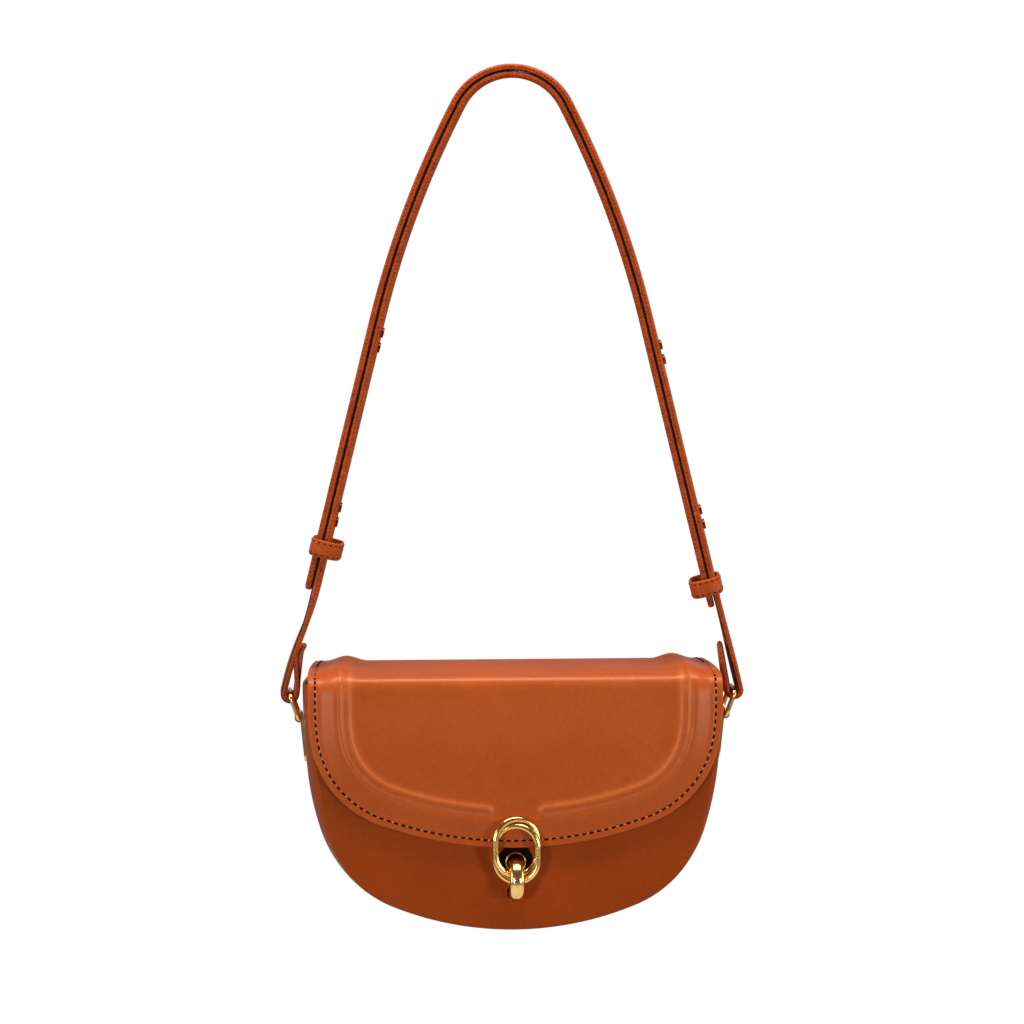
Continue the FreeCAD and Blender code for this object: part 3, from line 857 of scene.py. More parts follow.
# The body's leather is the flap's leather made darker: painted shade of the lower body and the part under
# the flap.
bag_leather = leather(
    "bag_leather", srgb(152, 61, 13), srgb(147, 58, 12), srgb(157, 64, 15), 0.36, 0.42, 0.18)
flap_leather = leather(
    "flap_leather", srgb(176, 76, 24), srgb(172, 73, 22), srgb(180, 79, 26), 0.36, 0.4, 0.38)
strap_leather = leather(
    "strap_leather", srgb(170, 70, 20), srgb(162, 65, 17), srgb(178, 76, 24), 0.38, 0.48, 0.2)
strap_edge = edge_paint("strap_edge", srgb(170, 68, 16), srgb(120, 40, 8), srgb(214, 116, 56))
# Near-black paint on the rims beside the other layer: painted shade of the gap between the strap's layers.
strap_gap_shade_paint = edge_paint("strap_gap_shade_paint", srgb(70, 22, 6), srgb(44, 12, 4), srgb(120, 44, 12))
# Edge paint of the flap's rim, made a little lighter than the leather as painted highlight on the rolled
# edge.
flap_edge_paint_and_highlight = edge_paint("flap_edge_paint_and_highlight", srgb(186, 86, 34), srgb(168, 74, 26), srgb(206, 108, 52))
# Pale paint on the little bumps beside the flap's stitches: painted highlight.
pucker_highlight_paint = edge_paint("pucker_highlight_paint", srgb(204, 118, 70), srgb(190, 104, 58), srgb(220, 140, 92))
stitch_thread = thread("stitch_thread", srgb(12, 5, 4), srgb(30, 13, 8))
edge_thread = thread("edge_thread", srgb(112, 42, 12), srgb(146, 60, 20))
strap_thread = thread("strap_thread", srgb(140, 56, 18), srgb(190, 90, 40))
lining_cloth = cloth("lining_cloth", srgb(22, 8, 8), srgb(38, 20, 18))
gold = polished_metal("gold", srgb(238, 188, 102), srgb(247, 207, 132), 0.16, 0.2)
bronze = polished_metal("bronze", srgb(112, 52, 24), srgb(140, 70, 34), 0.35, 0.45)
# Dark plating for the hidden plates and magnet. On the ferrule it is painted shade of the hole inside the
# rim.
dark_metal = polished_metal("dark_metal", srgb(58, 34, 24), srgb(74, 46, 32), 0.3, 0.42)
# Black leather for the spacers. The patch behind the ferrule uses it as painted shadow.
black_leather_and_shadow = leather("black_leather_and_shadow", srgb(14, 7, 6), srgb(9, 5, 4), srgb(20, 11, 9), 0.6, 0.7, 0.1)
board_fibre = fibre_board("board_fibre", srgb(150, 124, 92), srgb(104, 82, 58))


# Shoulder strap: the inner layer's tab is at the left ring, the outer layer's at the right one

loop_radius = ring_wire_radius + loop_clearance + strap_thickness / 2
inner_offset = strap_thickness / 2
outer_offset = strap_thickness + strap_gap + strap_thickness / 2
crown_centre = (0.0, -crown_radius)
shoulder_centre = shift(crown_centre, crown_radius - shoulder_radius, 90.0 - crown_turn)
centre_gap = (bar_x - shoulder_centre[0], bar_z - shoulder_centre[1])
radius_gap = shoulder_radius + outer_offset - loop_radius
leg_length = math.sqrt(centre_gap[0] ** 2 + centre_gap[1] ** 2 - radius_gap ** 2)
leg_heading = math.degrees(math.atan2(centre_gap[1], centre_gap[0]) - math.atan2(radius_gap, leg_length))


def arch_half(offset):
    route = Route((0.0, offset), 0.0)
    route.bend(crown_radius + offset, -crown_turn)
    route.bend(shoulder_radius + offset, crown_turn + leg_heading)
    return route


def inner_strap_route():
    """From the turned-back tab at the left ring, over the arch, to the right tip."""
    left = arch_half(inner_offset)
    sway = 2 * math.degrees(math.atan((outer_offset - inner_offset) / cross_over_length))
    sway_radius = cross_over_length / (2 * math.sin(math.radians(sway)))
    left.ahead(leg_length - cross_over_rise - cross_over_length)
    left.bend(sway_radius, sway).bend(sway_radius, -sway).ahead(cross_over_rise)
    left.bend(loop_radius, -loop_turn).ahead(left_tab_length).bend(tab_curl_radius, tab_curl_turn)
    right = arch_half(inner_offset).ahead(leg_length - inner_tip_rise)
    return left.mirrored().backwards().join(right)


def outer_strap_route():
    """From the left tip, over the arch, to the turned-back tab at the right ring."""
    left = arch_half(outer_offset).ahead(leg_length - outer_tip_rise)
    right = arch_half(outer_offset).ahead(leg_length)
    right.bend(loop_radius, -loop_turn).ahead(right_tab_length)
    return left.mirrored().backwards().join(right)


def facing_side(inner):
    """Which side of a layer lies against the other layer: 1 is outwards."""
    return 1 if inner else -1


def strap_section(inner):
    """A rounded bar section, all the way round, and each face's finish: wide face, edge, and the rim beside
    the other layer, painted dark as shade of the gap between the layers.
    """
    half = strap_thickness / 2
    wide = strap_width / 2
    corner = strap_rounding
    points = []
    for start, side_out, side_wide in ((0, 1, 1), (90, -1, 1), (180, -1, -1), (270, 1, -1)):
        for step in range(strap_corner_steps + 1):
            c, s = unit(start + 90.0 * step / strap_corner_steps)
            out = side_out * (half - corner) + corner * c
            points.append((out, side_wide * (wide - corner) + corner * s))
    points = np.array(points)
    middle = (points + np.roll(points, -1, axis=0)) / 2
    on_edge = np.abs(middle[:, 1]) > wide - corner
    in_gap_shade = on_edge & (facing_side(inner) * middle[:, 0] > half - gap_shade_depth)
    return points, on_edge.astype(int) + in_gap_shade


def strap_lay(route, inner, with_tips):
    """Places along a strap, their forward, outward and width directions, and their reach.

    The legs turn a little about their own length, and so does the folded tab.
    """
    points, headings = route.walk(strap_step, strap_turn_step)
    walked = line_reach(points)
    tips = np.array(tip_shares if with_tips else ()) * tip_rounding
    reach = np.unique(np.concatenate([walked, tips, walked[-1] - tips]))
    x, z = pick(points, walked, reach).T
    turn = np.interp(reach, walked, headings)
    places = rows_of(x, 0.0, z)
    along = rows_of(np.cos(turn), 0.0, np.sin(turn))
    twist = np.radians(strap_twist) * smooth_step(z - bar_z, twist_start_rise, twist_full_rise)
    lean = rows_of(np.sin(twist), np.cos(twist), 0.0)
    width = normalised(lean - along * (lean * along).sum(1, keepdims=True))
    outward = np.cross(along, width)
    past_tab = reach if inner else reach[-1] - reach
    tab_length = left_tab_length if inner else right_tab_length
    freed = smooth_step(-past_tab, -tab_length - tab_twist_lead, -tab_twist_end)[:, None]
    angle = np.radians(left_tab_twist if inner else right_tab_twist) * freed
    if inner:
        places = places - outward * left_tab_shift * freed
    width = width * np.cos(angle) + outward * np.sin(angle)
    return places, along, np.cross(along, width), width, reach


def strap_piece(name, route, inner):
    """One layer: a rounded tip at one end, a square tab at the other."""
    section, finishes = strap_section(inner)
    facing = facing_side(inner)
    places, _, outward, width, reach = strap_lay(route, inner, True)
    near_end = np.minimum(reach, reach[-1] - reach)
    at_tip = (reach > reach[-1] / 2) == inner
    bite = np.clip(tip_rounding - near_end, 0.0, None) * at_tip
    narrow = tip_rounding - np.sqrt(tip_rounding ** 2 - bite ** 2)
    blunt = np.clip(1.0 - 2 * near_end / strap_thickness, 0.0, None)
    thin = np.sqrt(np.maximum(tip_thin_share, 1.0 - blunt ** 2))
    swell = facing_swell * smooth_step(places[:, 2] - bar_z, swell_start_rise, swell_full_rise)
    out, across = section.T
    out = (out + facing * swell[:, None] * (out * facing > 0)) * thin[:, None]
    across = np.sign(across) * np.maximum(tip_half_width, np.abs(across) - narrow[:, None])
    rings = places[:, None] + outward[:, None] * out[..., None] + width[:, None] * across[..., None]
    slots = np.tile(finishes, len(places) - 1).tolist() + [1, 1]
    return tube_piece(name, rings, [strap_leather, strap_edge, strap_gap_shade_paint], slots, closed=False)


def strap_spots(route, inner, pitch):
    """Evenly spaced places along a strap with their forward, outward and width directions."""
    *lay, reach = strap_lay(route, inner, False)
    wanted = np.arange(strap_stitch_margin, reach[-1] - strap_stitch_margin, pitch)
    return list(zip(*(pick(values, reach, wanted) for values in lay)))


def strap_stitches(name, route, inner):
    """Two rows of stitches on each face."""
    spots = []
    for place, forward, out, wide in strap_spots(route, inner, strap_stitch_pitch):
        for face in (-1, 1):
            for side in (-1, 1):
                centre = place + out * face * (strap_thickness / 2 - strap_stitch_sink)
                centre = centre + wide * side * (strap_width / 2 - strap_stitch_inset)
                spots.append((centre, forward, out * face))
    return stitch_piece(name, spots, strap_stitch_length, strap_stitch_radius, strap_thread)


def edge_stitches(name, route, inner):
    """A fine dark row along each painted edge, away from the other layer."""
    spots = []
    for place, forward, out, wide in strap_spots(route, inner, edge_stitch_pitch):
        for side in (-1, 1):
            centre = place - out * facing_side(inner) * edge_stitch_offset
            centre = centre + wide * side * (strap_width / 2 - edge_stitch_sink)
            spots.append((centre, forward, wide * side))
    return stitch_piece(name, spots, edge_stitch_length, edge_stitch_radius, edge_thread)


def build_straps():
    inner_route = inner_strap_route()
    outer_route = outer_strap_route()
    inner = strap_piece("inner_strap_leather", inner_route, True)
    outer = strap_piece("outer_strap_leather", outer_route, False)
    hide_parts("strap_inner", "left_strap_loop")
    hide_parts("strap_outer", "right_strap_loop")
    inner_stitches = strap_stitches("inner_strap_stitches", inner_route, True)
    outer_stitches = strap_stitches("outer_strap_stitches", outer_route, False)
    inner_edge = edge_stitches("inner_strap_edge_stitches", inner_route, True)
    outer_edge = edge_stitches("outer_strap_edge_stitches", outer_route, False)
    pieces = (inner, outer, inner_stitches, outer_stitches, inner_edge, outer_edge)
    bend_between(pieces)


# Keepers

def keeper_outline(wall):
    """The keeper's line round the strap, moved out by a wall."""
    ring = oval(keeper_half_width + wall, keeper_half_depth + wall, keeper_power, keeper_points)
    return resample(np.vstack([ring, ring[:1]]), keeper_points + 1)


def keeper_section():
    """The band's section: share of the wall, height, and whether it is on a rounded rim."""
    half = keeper_height / 2
    flat = half - keeper_rim
    outside = []
    for height in np.linspace(-flat, flat, keeper_outside_points):
        outside.append((1.0 + keeper_bulge / keeper_wall * (1.0 - (height / half) ** 2), height, 0))
    inside = [(0.0, height, 0) for height in np.linspace(flat, -flat, keeper_inside_points)]
    steps = (keeper_rim_step, 0.0, keeper_rim_step)
    top = [(share, half - step, 1) for share, step in zip(keeper_rim_shares, steps)]
    bottom = [(share, -height, rim) for share, height, rim in reversed(top)]
    return outside + top + inside + bottom


def keeper_place(side, rise):
    """The keeper's middle, its outward and depth directions as rows, and its leg's direction."""
    leg = arch_half(outer_offset).ahead(leg_length - rise).point
    x, z = shift(leg, keeper_centre_out, leg_heading + 90.0)
    up_x, up_z = unit(leg_heading + 180.0)
    up = np.array([side * up_x, 0.0, up_z])
    lean_x, lean_y = unit(90.0 - strap_twist)
    lean = np.array([lean_x, lean_y, 0.0])
    depth = normalised(lean - up * lean.dot(up))
    return np.array([side * x, 0.0, z]), np.stack([side * np.cross(depth, up), depth]), up


def keeper_stitches(name, middle, plane, up):
    """A row of stitches along each rim."""
    line = keeper_outline(keeper_wall)
    count = int(line_reach(line)[-1] / keeper_stitch_pitch)
    shares = (np.arange(count) + 0.5) / count
    flat = at_shares(line, shares)
    ahead = at_shares(line, shares + stitch_ahead_share / count)
    half = keeper_height / 2
    spots = []
    for height in (half - keeper_stitch_inset, keeper_stitch_inset - half):
        swell = keeper_bulge * (1.0 - (height / half) ** 2)
        for spot, forward in zip(flat @ plane, (ahead - flat) @ plane):
            normal = normalised(np.cross(forward, up))
            normal *= np.sign(normal.dot(spot))
            spots.append((middle + spot + normal * swell + up * height, forward, normal))
    return stitch_piece(name, spots, keeper_stitch_length, keeper_stitch_radius, stitch_thread)


def build_keeper(name, side, rise, node):
    inner = keeper_outline(0.0)[:-1]
    outer = keeper_outline(keeper_wall)[:-1]
    middle, plane, up = keeper_place(side, rise)
    rings = []
    slots = []
    for share, height, rim in keeper_section():
        rings.append(middle + (inner + (outer - inner) * share) @ plane + up * height)
        slots += [rim] * keeper_points
    band = tube_piece(name, rings, [strap_leather, strap_edge], slots)
    settle(band, "strap_leather", node, node)
    stitches = keeper_stitches(name + "_stitches", middle, plane, up)
    settle(stitches, "strap_leather", node)


def build_keepers():
    build_keeper("left_keeper_band", -1.0, left_keeper_rise, "left_keeper")
    build_keeper("right_keeper_band", 1.0, right_keeper_rise, "right_keeper")


# Bag body

def outline_route(bottom_size, first_turn, corner_size, second_turn, side_size, inset):
    route = Route((0.0, inset), 0.0)
    route.bend(bottom_size - inset, first_turn)
    route.bend(corner_size - inset, second_turn - first_turn)
    route.bend(side_size - inset, 90.0 - second_turn)
    return route


def body_line(inset, top_z):
    """The body outline in XZ from its left top, round the bottom, to its right top."""
    route = outline_route(bottom_radius, bottom_turn, corner_radius, corner_turn, side_radius, inset)
    points, _ = route.walk(outline_step, outline_turn_step)
    points = points + np.array([0.0, bottom_z])
    last = np.array([[np.interp(top_z, points[:, 1], points[:, 0]), top_z]])
    right = np.vstack([points[points[:, 1] < top_z], last])
    left = right[::-1] * np.array([-1.0, 1.0])
    return np.vstack([left[:-1], right])


def panel_piece(name, side, top_z, grid):
    """A body panel with a turned edge. side is -1 for the front and 1 for the back."""
    line = body_line(panel_inset, top_z)
    across = edge_spread(grid[0], panel_gather_share)
    down = end_spread(grid[1], panel_gather_share)
    flat = outline_grid(line, panel_side_share, across, down)
    away = distance_to_line(flat, line)
    drop = np.clip(panel_rounding - away, 0.0, None)
    fall = panel_rounding - np.sqrt(np.clip(panel_rounding ** 2 - drop ** 2, 0.0, None))
    puff = panel_puff * smooth_step(away, 0.0, panel_puff_reach)
    inner_y = side * gusset_width / 2
    outer_y = inner_y + side * (panel_thickness - fall + puff)
    return slab_piece(name, flat, outer_y, inner_y, grid, bag_leather)


def cut_sockets(piece):
    """Opens the two round sockets for the clasp's prongs."""
    cutters = []
    for height in (upper_socket_z, lower_socket_z):
        sizes = {"radius": socket_radius * millimetre, "depth": socket_depth * millimetre}
        bpy.ops.mesh.primitive_cylinder_add(vertices=socket_cut_points, **sizes)
        cutter = bpy.context.object
        place = Matrix.Translation(Vector((0.0, front_y, height)) * millimetre)
        cutter.matrix_world = place @ Matrix.Rotation(math.radians(90.0), 4, "X")
        cut = piece.modifiers.new("socket", "BOOLEAN")
        cut.operation = "DIFFERENCE"
        cut.solver = "EXACT"
        cut.object = cutter
        cutters.append(cutter)
    bpy.context.view_layer.update()
    depsgraph = bpy.context.evaluated_depsgraph_get()
    mesh = bpy.data.meshes.new_from_object(piece.evaluated_get(depsgraph))
    piece.modifiers.clear()
    piece.data = mesh
    for cutter in cutters:
        bpy.data.objects.remove(cutter)


def fill_out(line, share):
    """Swells the lower sides of an outline, most in the middle of the gusset's depth."""
    swell = gusset_full * (1.0 - share * share) * ridge(line[:, 1], gusset_full_z, gusset_full_reach)
    return line + rows_of(np.sign(line[:, 0]) * swell, 0.0)


def hem_end(end, before, middle, lift, thickness):
    """The end of a strip, moved out by a lift and rounded over to the middle of its thickness."""
    way = normalised(end - before)
    end = end + way * lift
    middle = middle + way * lift
    points = [end]
    for angle in hem_angles:
        c, s = unit(angle)
        points.append(middle + (end - middle) * max(c, hem_close_share) + way * thickness / 2 * s)
    return np.array(points)


def shell_strip(name, inset, thickness, half_depth, bulged, material, grid):
    """A band of leather or cloth round the body outline, with rounded hems at its two ends."""
    count, steps = grid
    shares = np.linspace(-1.0, 1.0, steps)
    rings = []
    for depth_share, row in ((0.0, shares), (1.0, shares[::-1])):
        for share in row:
            draw = inset
            lift = lining_rise * (1.0 - share * share)
            if bulged:
                draw = inset + gusset_bulge * abs(share) ** gusset_bulge_power
                raised = smooth_step(-share, front_rise_start_share, front_rise_full_share)
                lift = gusset_front_rise * raised
            line = resample(body_line(draw + thickness * depth_share, mouth_z), count)
            middle = resample(body_line(draw + thickness / 2, mouth_z), count)
            if bulged:
                line = fill_out(line, share)
            start = hem_end(line[0], line[1], middle[0], lift, thickness)[::-1]
            end = hem_end(line[-1], line[-2], middle[-1], lift, thickness)
            x, z = np.vstack([start, line[1:-1], end]).T
            rings.append(rows_of(x, half_depth * share, z))
    faces = grid_faces(len(rings), len(rings[0]), wrap_rows=True)
    return make_piece(name, np.vstack(rings), faces, [material], close=True)


def lining_wall(name, side):
    """A wall of the lining, with a little slack in its cloth."""
    line = body_line(lining_inset + lining_wall_gap, mouth_z)
    across = np.linspace(0.0, 1.0, lining_wall_grid[0])
    down = np.linspace(0.0, 1.0, lining_wall_grid[1])
    flat = outline_grid(line, panel_side_share, across, down)
    away = distance_to_line(flat, line)
    waves = np.sin(flat[:, 0] / lining_wave_across) * np.sin(flat[:, 1] / lining_wave_down)
    slack = lining_slack * np.abs(waves) * smooth_step(away, lining_slack_start, lining_slack_end)
    outer_y = side * lining_half_depth
    inner_y = outer_y - side * (lining_thickness + slack)
    return slab_piece(name, flat, outer_y, inner_y, lining_wall_grid, lining_cloth)


def build_body():
    front = panel_piece("front_panel_leather", -1.0, mouth_z, front_panel_grid)
    cut_sockets(front)
    back = panel_piece("back_panel_leather", 1.0, flap_top_z - back_fold_radius, back_panel_grid)
    gusset = shell_strip("gusset_leather", 0.0, gusset_thickness, gusset_width / 2,
                         True, bag_leather, gusset_grid)
    lining = shell_strip("lining_gusset", lining_inset, lining_thickness,
                         lining_half_depth - lining_thickness, False, lining_cloth, lining_strip_grid)
    front_wall = lining_wall("lining_front", -1.0)
    back_wall = lining_wall("lining_back", 1.0)
    settle(front, "bag_leather", "bag", "front_panel")
    settle(back, "bag_leather", "bag", "back_panel")
    settle(gusset, "bag_leather", "bag", "gusset")
    settle(lining, "lining_cloth", "bag", "lining")
    settle(front_wall, "lining_cloth", "bag")
    settle(back_wall, "lining_cloth", "bag")


# Flap

back_fold = (flap_back_y - back_fold_radius, flap_top_z - back_fold_radius)
spread_shares = np.linspace(-2.0, 2.0, 17)
soft_shares = np.exp(-spread_shares ** 2 / 2)
soft_shares = soft_shares / soft_shares.sum()
flap_route = outline_route(flap_bottom_radius, flap_bottom_turn, flap_corner_radius, flap_corner_turn,
                           flap_side_radius, 0.0)
flap_widest = flap_route.point[0]


def front_profile():
    """The flap's front half seen from the side: a crowned top and a tight fold, ending upright."""
    shares = 1.0 - np.linspace(1.0, 0.0, front_profile_points) ** 2
    drop = top_crown * shares ** 2 + fold_drop * (1.0 - np.sqrt(1.0 - shares ** fold_power))
    return rows_of(flap_face_y * shares, flap_top_z - drop)


def back_profile():
    """The flap's back half seen from the side: a level top and a round fold, ending upright."""
    angles = np.linspace(0.0, np.pi / 2, back_profile_points)
    y = back_fold[0] + back_fold_radius * np.sin(angles)
    z = back_fold[1] + back_fold_radius * np.cos(angles)
    return np.vstack([[[0.0, flap_top_z]], rows_of(y, z)])


class FlapSide:
    """One half of the flap, from the middle of its top to its front or back edge.

    Places are given by x and by run, the way along the leather from the middle of the top.
    """

    def __init__(self, forward):
        self.forward = forward
        self.sign = -1.0 if forward else 1.0
        self.profile = front_profile() if forward else back_profile()
        self.runs = line_reach(self.profile)
        self.arc_end = self.runs[-1]
        self.end_z = self.profile[-1, 1]
        self.flat = self.arc_end - (front_fold_radius if forward else back_fold_radius)
        self.length = self.run_of_z(flap_bottom_z if forward else back_fold[1] - flap_root_length)

    def run_of_z(self, z):
        return self.arc_end + self.end_z - z

    def y_of_run(self, run):
        return np.interp(run, self.runs, self.profile[:, 0])

    def shape(self, run):
        """Y and Z along the leather, carried on straight past both ends of the profile."""
        before = np.clip(run, None, 0.0)
        hang = np.clip(run - self.arc_end, 0.0, None)
        y = self.y_of_run(run) + self.sign * before
        z = np.interp(run, self.runs, self.profile[:, 1]) - hang
        return rows_of(y, z)

    def spread_shape(self, run, spread):
        """The same line with its fold rounded off over a spread."""
        steps = zip(spread_shares, soft_shares)
        return sum(soft * self.shape(run + share * spread) for share, soft in steps)

    def rounded_shape(self, run, soft):
        """The line over the middle of the flap, and over its border where soft is one."""
        middle = self.spread_shape(run, panel_fold_spread)
        border = self.spread_shape(run, border_fold_spread)
        return middle + (border - middle) * soft[:, None]

    def at(self, x, run, lift, soft):
        """Points and outward directions."""
        y, z = self.rounded_shape(run, soft).T
        step = self.rounded_shape(run + slope_step, soft) - self.rounded_shape(run - slope_step, soft)
        normal = normalised(rows_of(0.0, -self.sign * step[:, 1], self.sign * step[:, 0]))
        return rows_of(x, y, z) + normal * lift[:, None], normal


def flap_half_width(y):
    """Half the flap's width across its top, from its widest at the front to the back."""
    share = (y - flap_face_y) / (flap_back_y - flap_face_y)
    return flap_widest - (flap_widest - flap_back_half_width) * share ** flap_shoulder_power


def front_half_line(side):
    """Right edge of the front half, in x and run, from the middle of the top to the lowest point."""
    points, _ = flap_route.walk(outline_step, outline_turn_step)
    lower = rows_of(points[:, 0], side.run_of_z(points[:, 1] + flap_bottom_z))[::-1]
    runs = np.arange(0.0, min(side.arc_end, lower[0, 1]), outline_step)
    upper = rows_of(flap_half_width(side.y_of_run(runs)), runs)
    return np.vstack([upper, lower])


def back_half_line(side):
    """Right edge of the back half, from the middle of the top to the middle of the root's edge."""
    corner_run = side.length - flap_root_rounding
    runs = np.arange(0.0, corner_run, outline_step)
    upper = rows_of(flap_half_width(side.y_of_run(runs)), runs)
    edge = upper[-1, 0]
    route = Route((edge, corner_run), 90.0)
    route.bend(flap_root_rounding, 90.0).ahead(edge - flap_root_rounding)
    corner, _ = route.walk(outline_step, arc_turn_step)
    return np.vstack([upper[:-1], corner])


def whole_edge(right):
    """Left top, round the lowest point, to right top. The leather lies to the right of this line."""
    left = right * np.array([-1.0, 1.0])
    return np.vstack([left, right[::-1][1:]])


def inset_edge(outline, inset):
    """The flap's edge, moved in over the leather."""
    line = resample(outline, flap_outline_count)
    return line - inset * left_of(line)


def flap_bands(away, lower):
    """The padded border: a ramp to a flat shelf on the front, one wide dome over the fold."""
    narrow = smooth_step(away, band_start, band_crest)
    narrow = narrow - band_fall_share * smooth_step(away, band_crest, band_end)
    wide = smooth_step(away, wide_band_start, wide_band_crest)
    wide = wide * (1.0 - smooth_step(away, wide_band_crest, wide_band_end))
    return band_height * narrow * lower + wide_band_height * wide * (1.0 - lower)


def rib_gap(x, away):
    """Distance from the middle of the rib, which runs along the edge and ends beside the clasp."""
    past_end = np.clip(rib_end_x - np.abs(x), 0.0, None)
    return np.hypot(away - rib_line, past_end)


def flap_panel(x, run, away, side, lower):
    """The rib inside the border, the crowned middle and the soft line under the fold."""
    rib = rib_height * (1.0 - smooth_step(rib_gap(x, away), rib_flat, rib_half_width))
    lift = (rib + panel_rise * smooth_step(away, panel_start, panel_end)) * lower
    top_edge = side.arc_end - top_line_rise
    crowned = smooth_step(run, top_edge, top_edge + panel_crown_drop)
    return lift + panel_crown * smooth_step(away, panel_end, panel_crown_reach) * crowned


def flap_lift(x, run, away, side):
    """Height of the moulded relief over the plain flap."""
    channel = -stitch_channel_depth * ridge(away, stitch_inset, stitch_channel_width)
    if side.forward:
        lower = smooth_step(run, side.arc_end - band_top_rise, side.arc_end + band_top_drop)
        full = smooth_step(side.length - run, band_low_rise, band_full_rise)
        strength = 1.0 - lower * (1.0 - band_low_share) * (1.0 - full)
        return flap_bands(away, lower) * strength + flap_panel(x, run, away, side, lower) + channel
    past = smooth_step(run, side.flat - root_band_fall_reach, side.arc_end + root_band_fall_reach)
    return flap_bands(away, np.zeros_like(run)) * (1.0 - root_band_fall_share * past) + channel


def flap_painted_light(x, run, away, side):
    """Painted highlight along the rib's creases (above zero) and painted shade along the valley inside the
    border (below zero).
    """
    lower = smooth_step(run, side.arc_end - band_top_rise, side.arc_end - rib_highlight_rise)
    spread = np.where(away < rib_line, rib_outer_spread, rib_inner_spread)
    sides = smooth_step(side.length - run, valley_low_rise, valley_full_rise)
    valley = valley_shade_share * ridge(away, valley_line, valley_spread) * sides
    return (ridge(rib_gap(x, away), rib_crease, spread) - valley) * lower


def flap_soft(away, side):
    """Where the fold is rounded off: over the border of the front half."""
    if side.forward:
        return 1.0 - smooth_step(away, band_end, panel_end)
    return np.zeros_like(away)


def flap_depth(run, away, side):
    """Thickness of the flap under its plain outer face."""
    if side.forward:
        change = smooth_step(run, side.flat, side.arc_end + front_thick_drop)
        full = flap_top_thickness + (flap_front_thickness - flap_top_thickness) * change
        full = full * (1.0 - fold_thin_share * ridge(run, side.arc_end - fold_thin_rise, fold_thin_reach))
    else:
        change = smooth_step(run, side.flat - root_thin_rise, side.arc_end)
        full = flap_top_thickness + (flap_root_thickness - flap_top_thickness) * change
    edge = np.minimum(full, flap_edge_thickness)
    return edge + (full - edge) * smooth_step(away, edge_thin_start, edge_thin_end)


def flap_piece(name, side, outline, grid, side_share):
    """A half of the flap: leather outside, cloth inside and a rounded, painted rim, its paint partly a
    painted highlight on the rolled edge.
    """
    columns, rows = grid
    trimmed = inset_edge(outline, rim_reach)
    trimmed[[0, -1], 1] = 0.0
    across = edge_spread(columns, flap_across_gather_share)
    down = end_spread(rows, flap_down_gather_share)
    flat = outline_grid(trimmed, side_share, across, down)
    x, run = flat.T
    away = distance_to_line(flat, outline)
    lift = flap_lift(x, run, away, side)
    depth = flap_depth(run, away, side)
    soft = flap_soft(away, side)
    outer, _ = side.at(x, run, lift, soft)
    inner, _ = side.at(x, run, -depth, soft)
    points = [outer, inner]
    count = len(flat)
    faces = grid_faces(rows, columns) + grid_faces(rows, columns, count, flip=True)
    slots = np.repeat([0, 1], len(faces) // 2).tolist()
    ring = boundary_ring(rows, columns)
    size = len(ring)
    out = left_of(flat[ring])
    chains = [ring]
    for angle in rim_angles:
        c, s = unit(angle)
        rim = flat[ring] + out * rim_reach * s
        over = (lift[ring] - depth[ring]) / 2 + (lift[ring] + depth[ring]) / 2 * c
        spots, _ = side.at(rim[:, 0], rim[:, 1], over, soft[ring])
        points.append(spots)
        start = 2 * count + size * (len(chains) - 1)
        chains.append(list(range(start, start + size)))
    chains.append([index + count for index in ring])
    for one, two in zip(chains, chains[1:]):
        for index in range(size - 1):
            faces.append((one[index], one[index + 1], two[index + 1], two[index]))
            slots.append(2)
    piece = make_piece(name, np.vstack(points), faces, [flap_leather, lining_cloth, flap_edge_paint_and_highlight], slots)
    if side.forward:
        # Painted highlight and painted shade, carried to the leather's colour by this point attribute.
        painted_light_layer = piece.data.attributes.new("painted_light", "FLOAT", "POINT")
        values = np.zeros(len(piece.data.vertices))
        values[:count] = flap_painted_light(x, run, away, side)
        painted_light_layer.data.foreach_set("value", values)
    return piece


def flap_stitches(name, side, outline, lag, length, radius, material):
    """A row of raised threads along the edge; lag is the share of a pitch before the first one."""
    line = inset_edge(outline, stitch_inset)
    line = line[line[:, 1] > stitch_radius]
    count = int(line_reach(line)[-1] / stitch_pitch)
    shares = (np.arange(count - 1) + lag) / count
    flat = at_shares(line, shares)
    x, run = flat.T
    away = distance_to_line(flat, outline)
    lift = flap_lift(x, run, away, side)
    soft = flap_soft(away, side)
    ends = []
    for share in (stitch_reach_share, -stitch_reach_share):
        end_x, end_run = at_shares(line, shares + share / count).T
        ends.append(side.at(end_x, end_run, lift, soft)[0])
    centre, normal = side.at(x, run, lift, soft)
    return stitch_piece(name, list(zip(centre, ends[0] - ends[1], normal)), length, radius, material)


def build_flap():
    front_side = FlapSide(True)
    back_side = FlapSide(False)
    front_edge = whole_edge(front_half_line(front_side))
    back_edge = whole_edge(back_half_line(back_side))
    front = flap_piece("flap_front_leather", front_side, front_edge, flap_front_grid, flap_front_side_share)
    back = flap_piece("flap_back_leather", back_side, back_edge, flap_back_grid, flap_back_side_share)
    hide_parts("flap_front", "flap_padding", "flap_front_lining")
    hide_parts("flap_root", "flap_top", "flap_top_lining")
    thread_sizes = (stitch_lag_share, stitch_length, stitch_radius, stitch_thread)
    pucker_sizes = (pucker_lag_share, pucker_length, pucker_radius, pucker_highlight_paint)
    front_thread = flap_stitches("flap_front_stitches", front_side, front_edge, *thread_sizes)
    back_thread = flap_stitches("flap_back_stitches", back_side, back_edge, *thread_sizes)
    puckers = flap_stitches("flap_front_puckers", front_side, front_edge, *pucker_sizes)
    bend_between((front, front_thread, puckers))
    bend_between((back, back_thread))


# Hardware keeps its solids and gets its finish

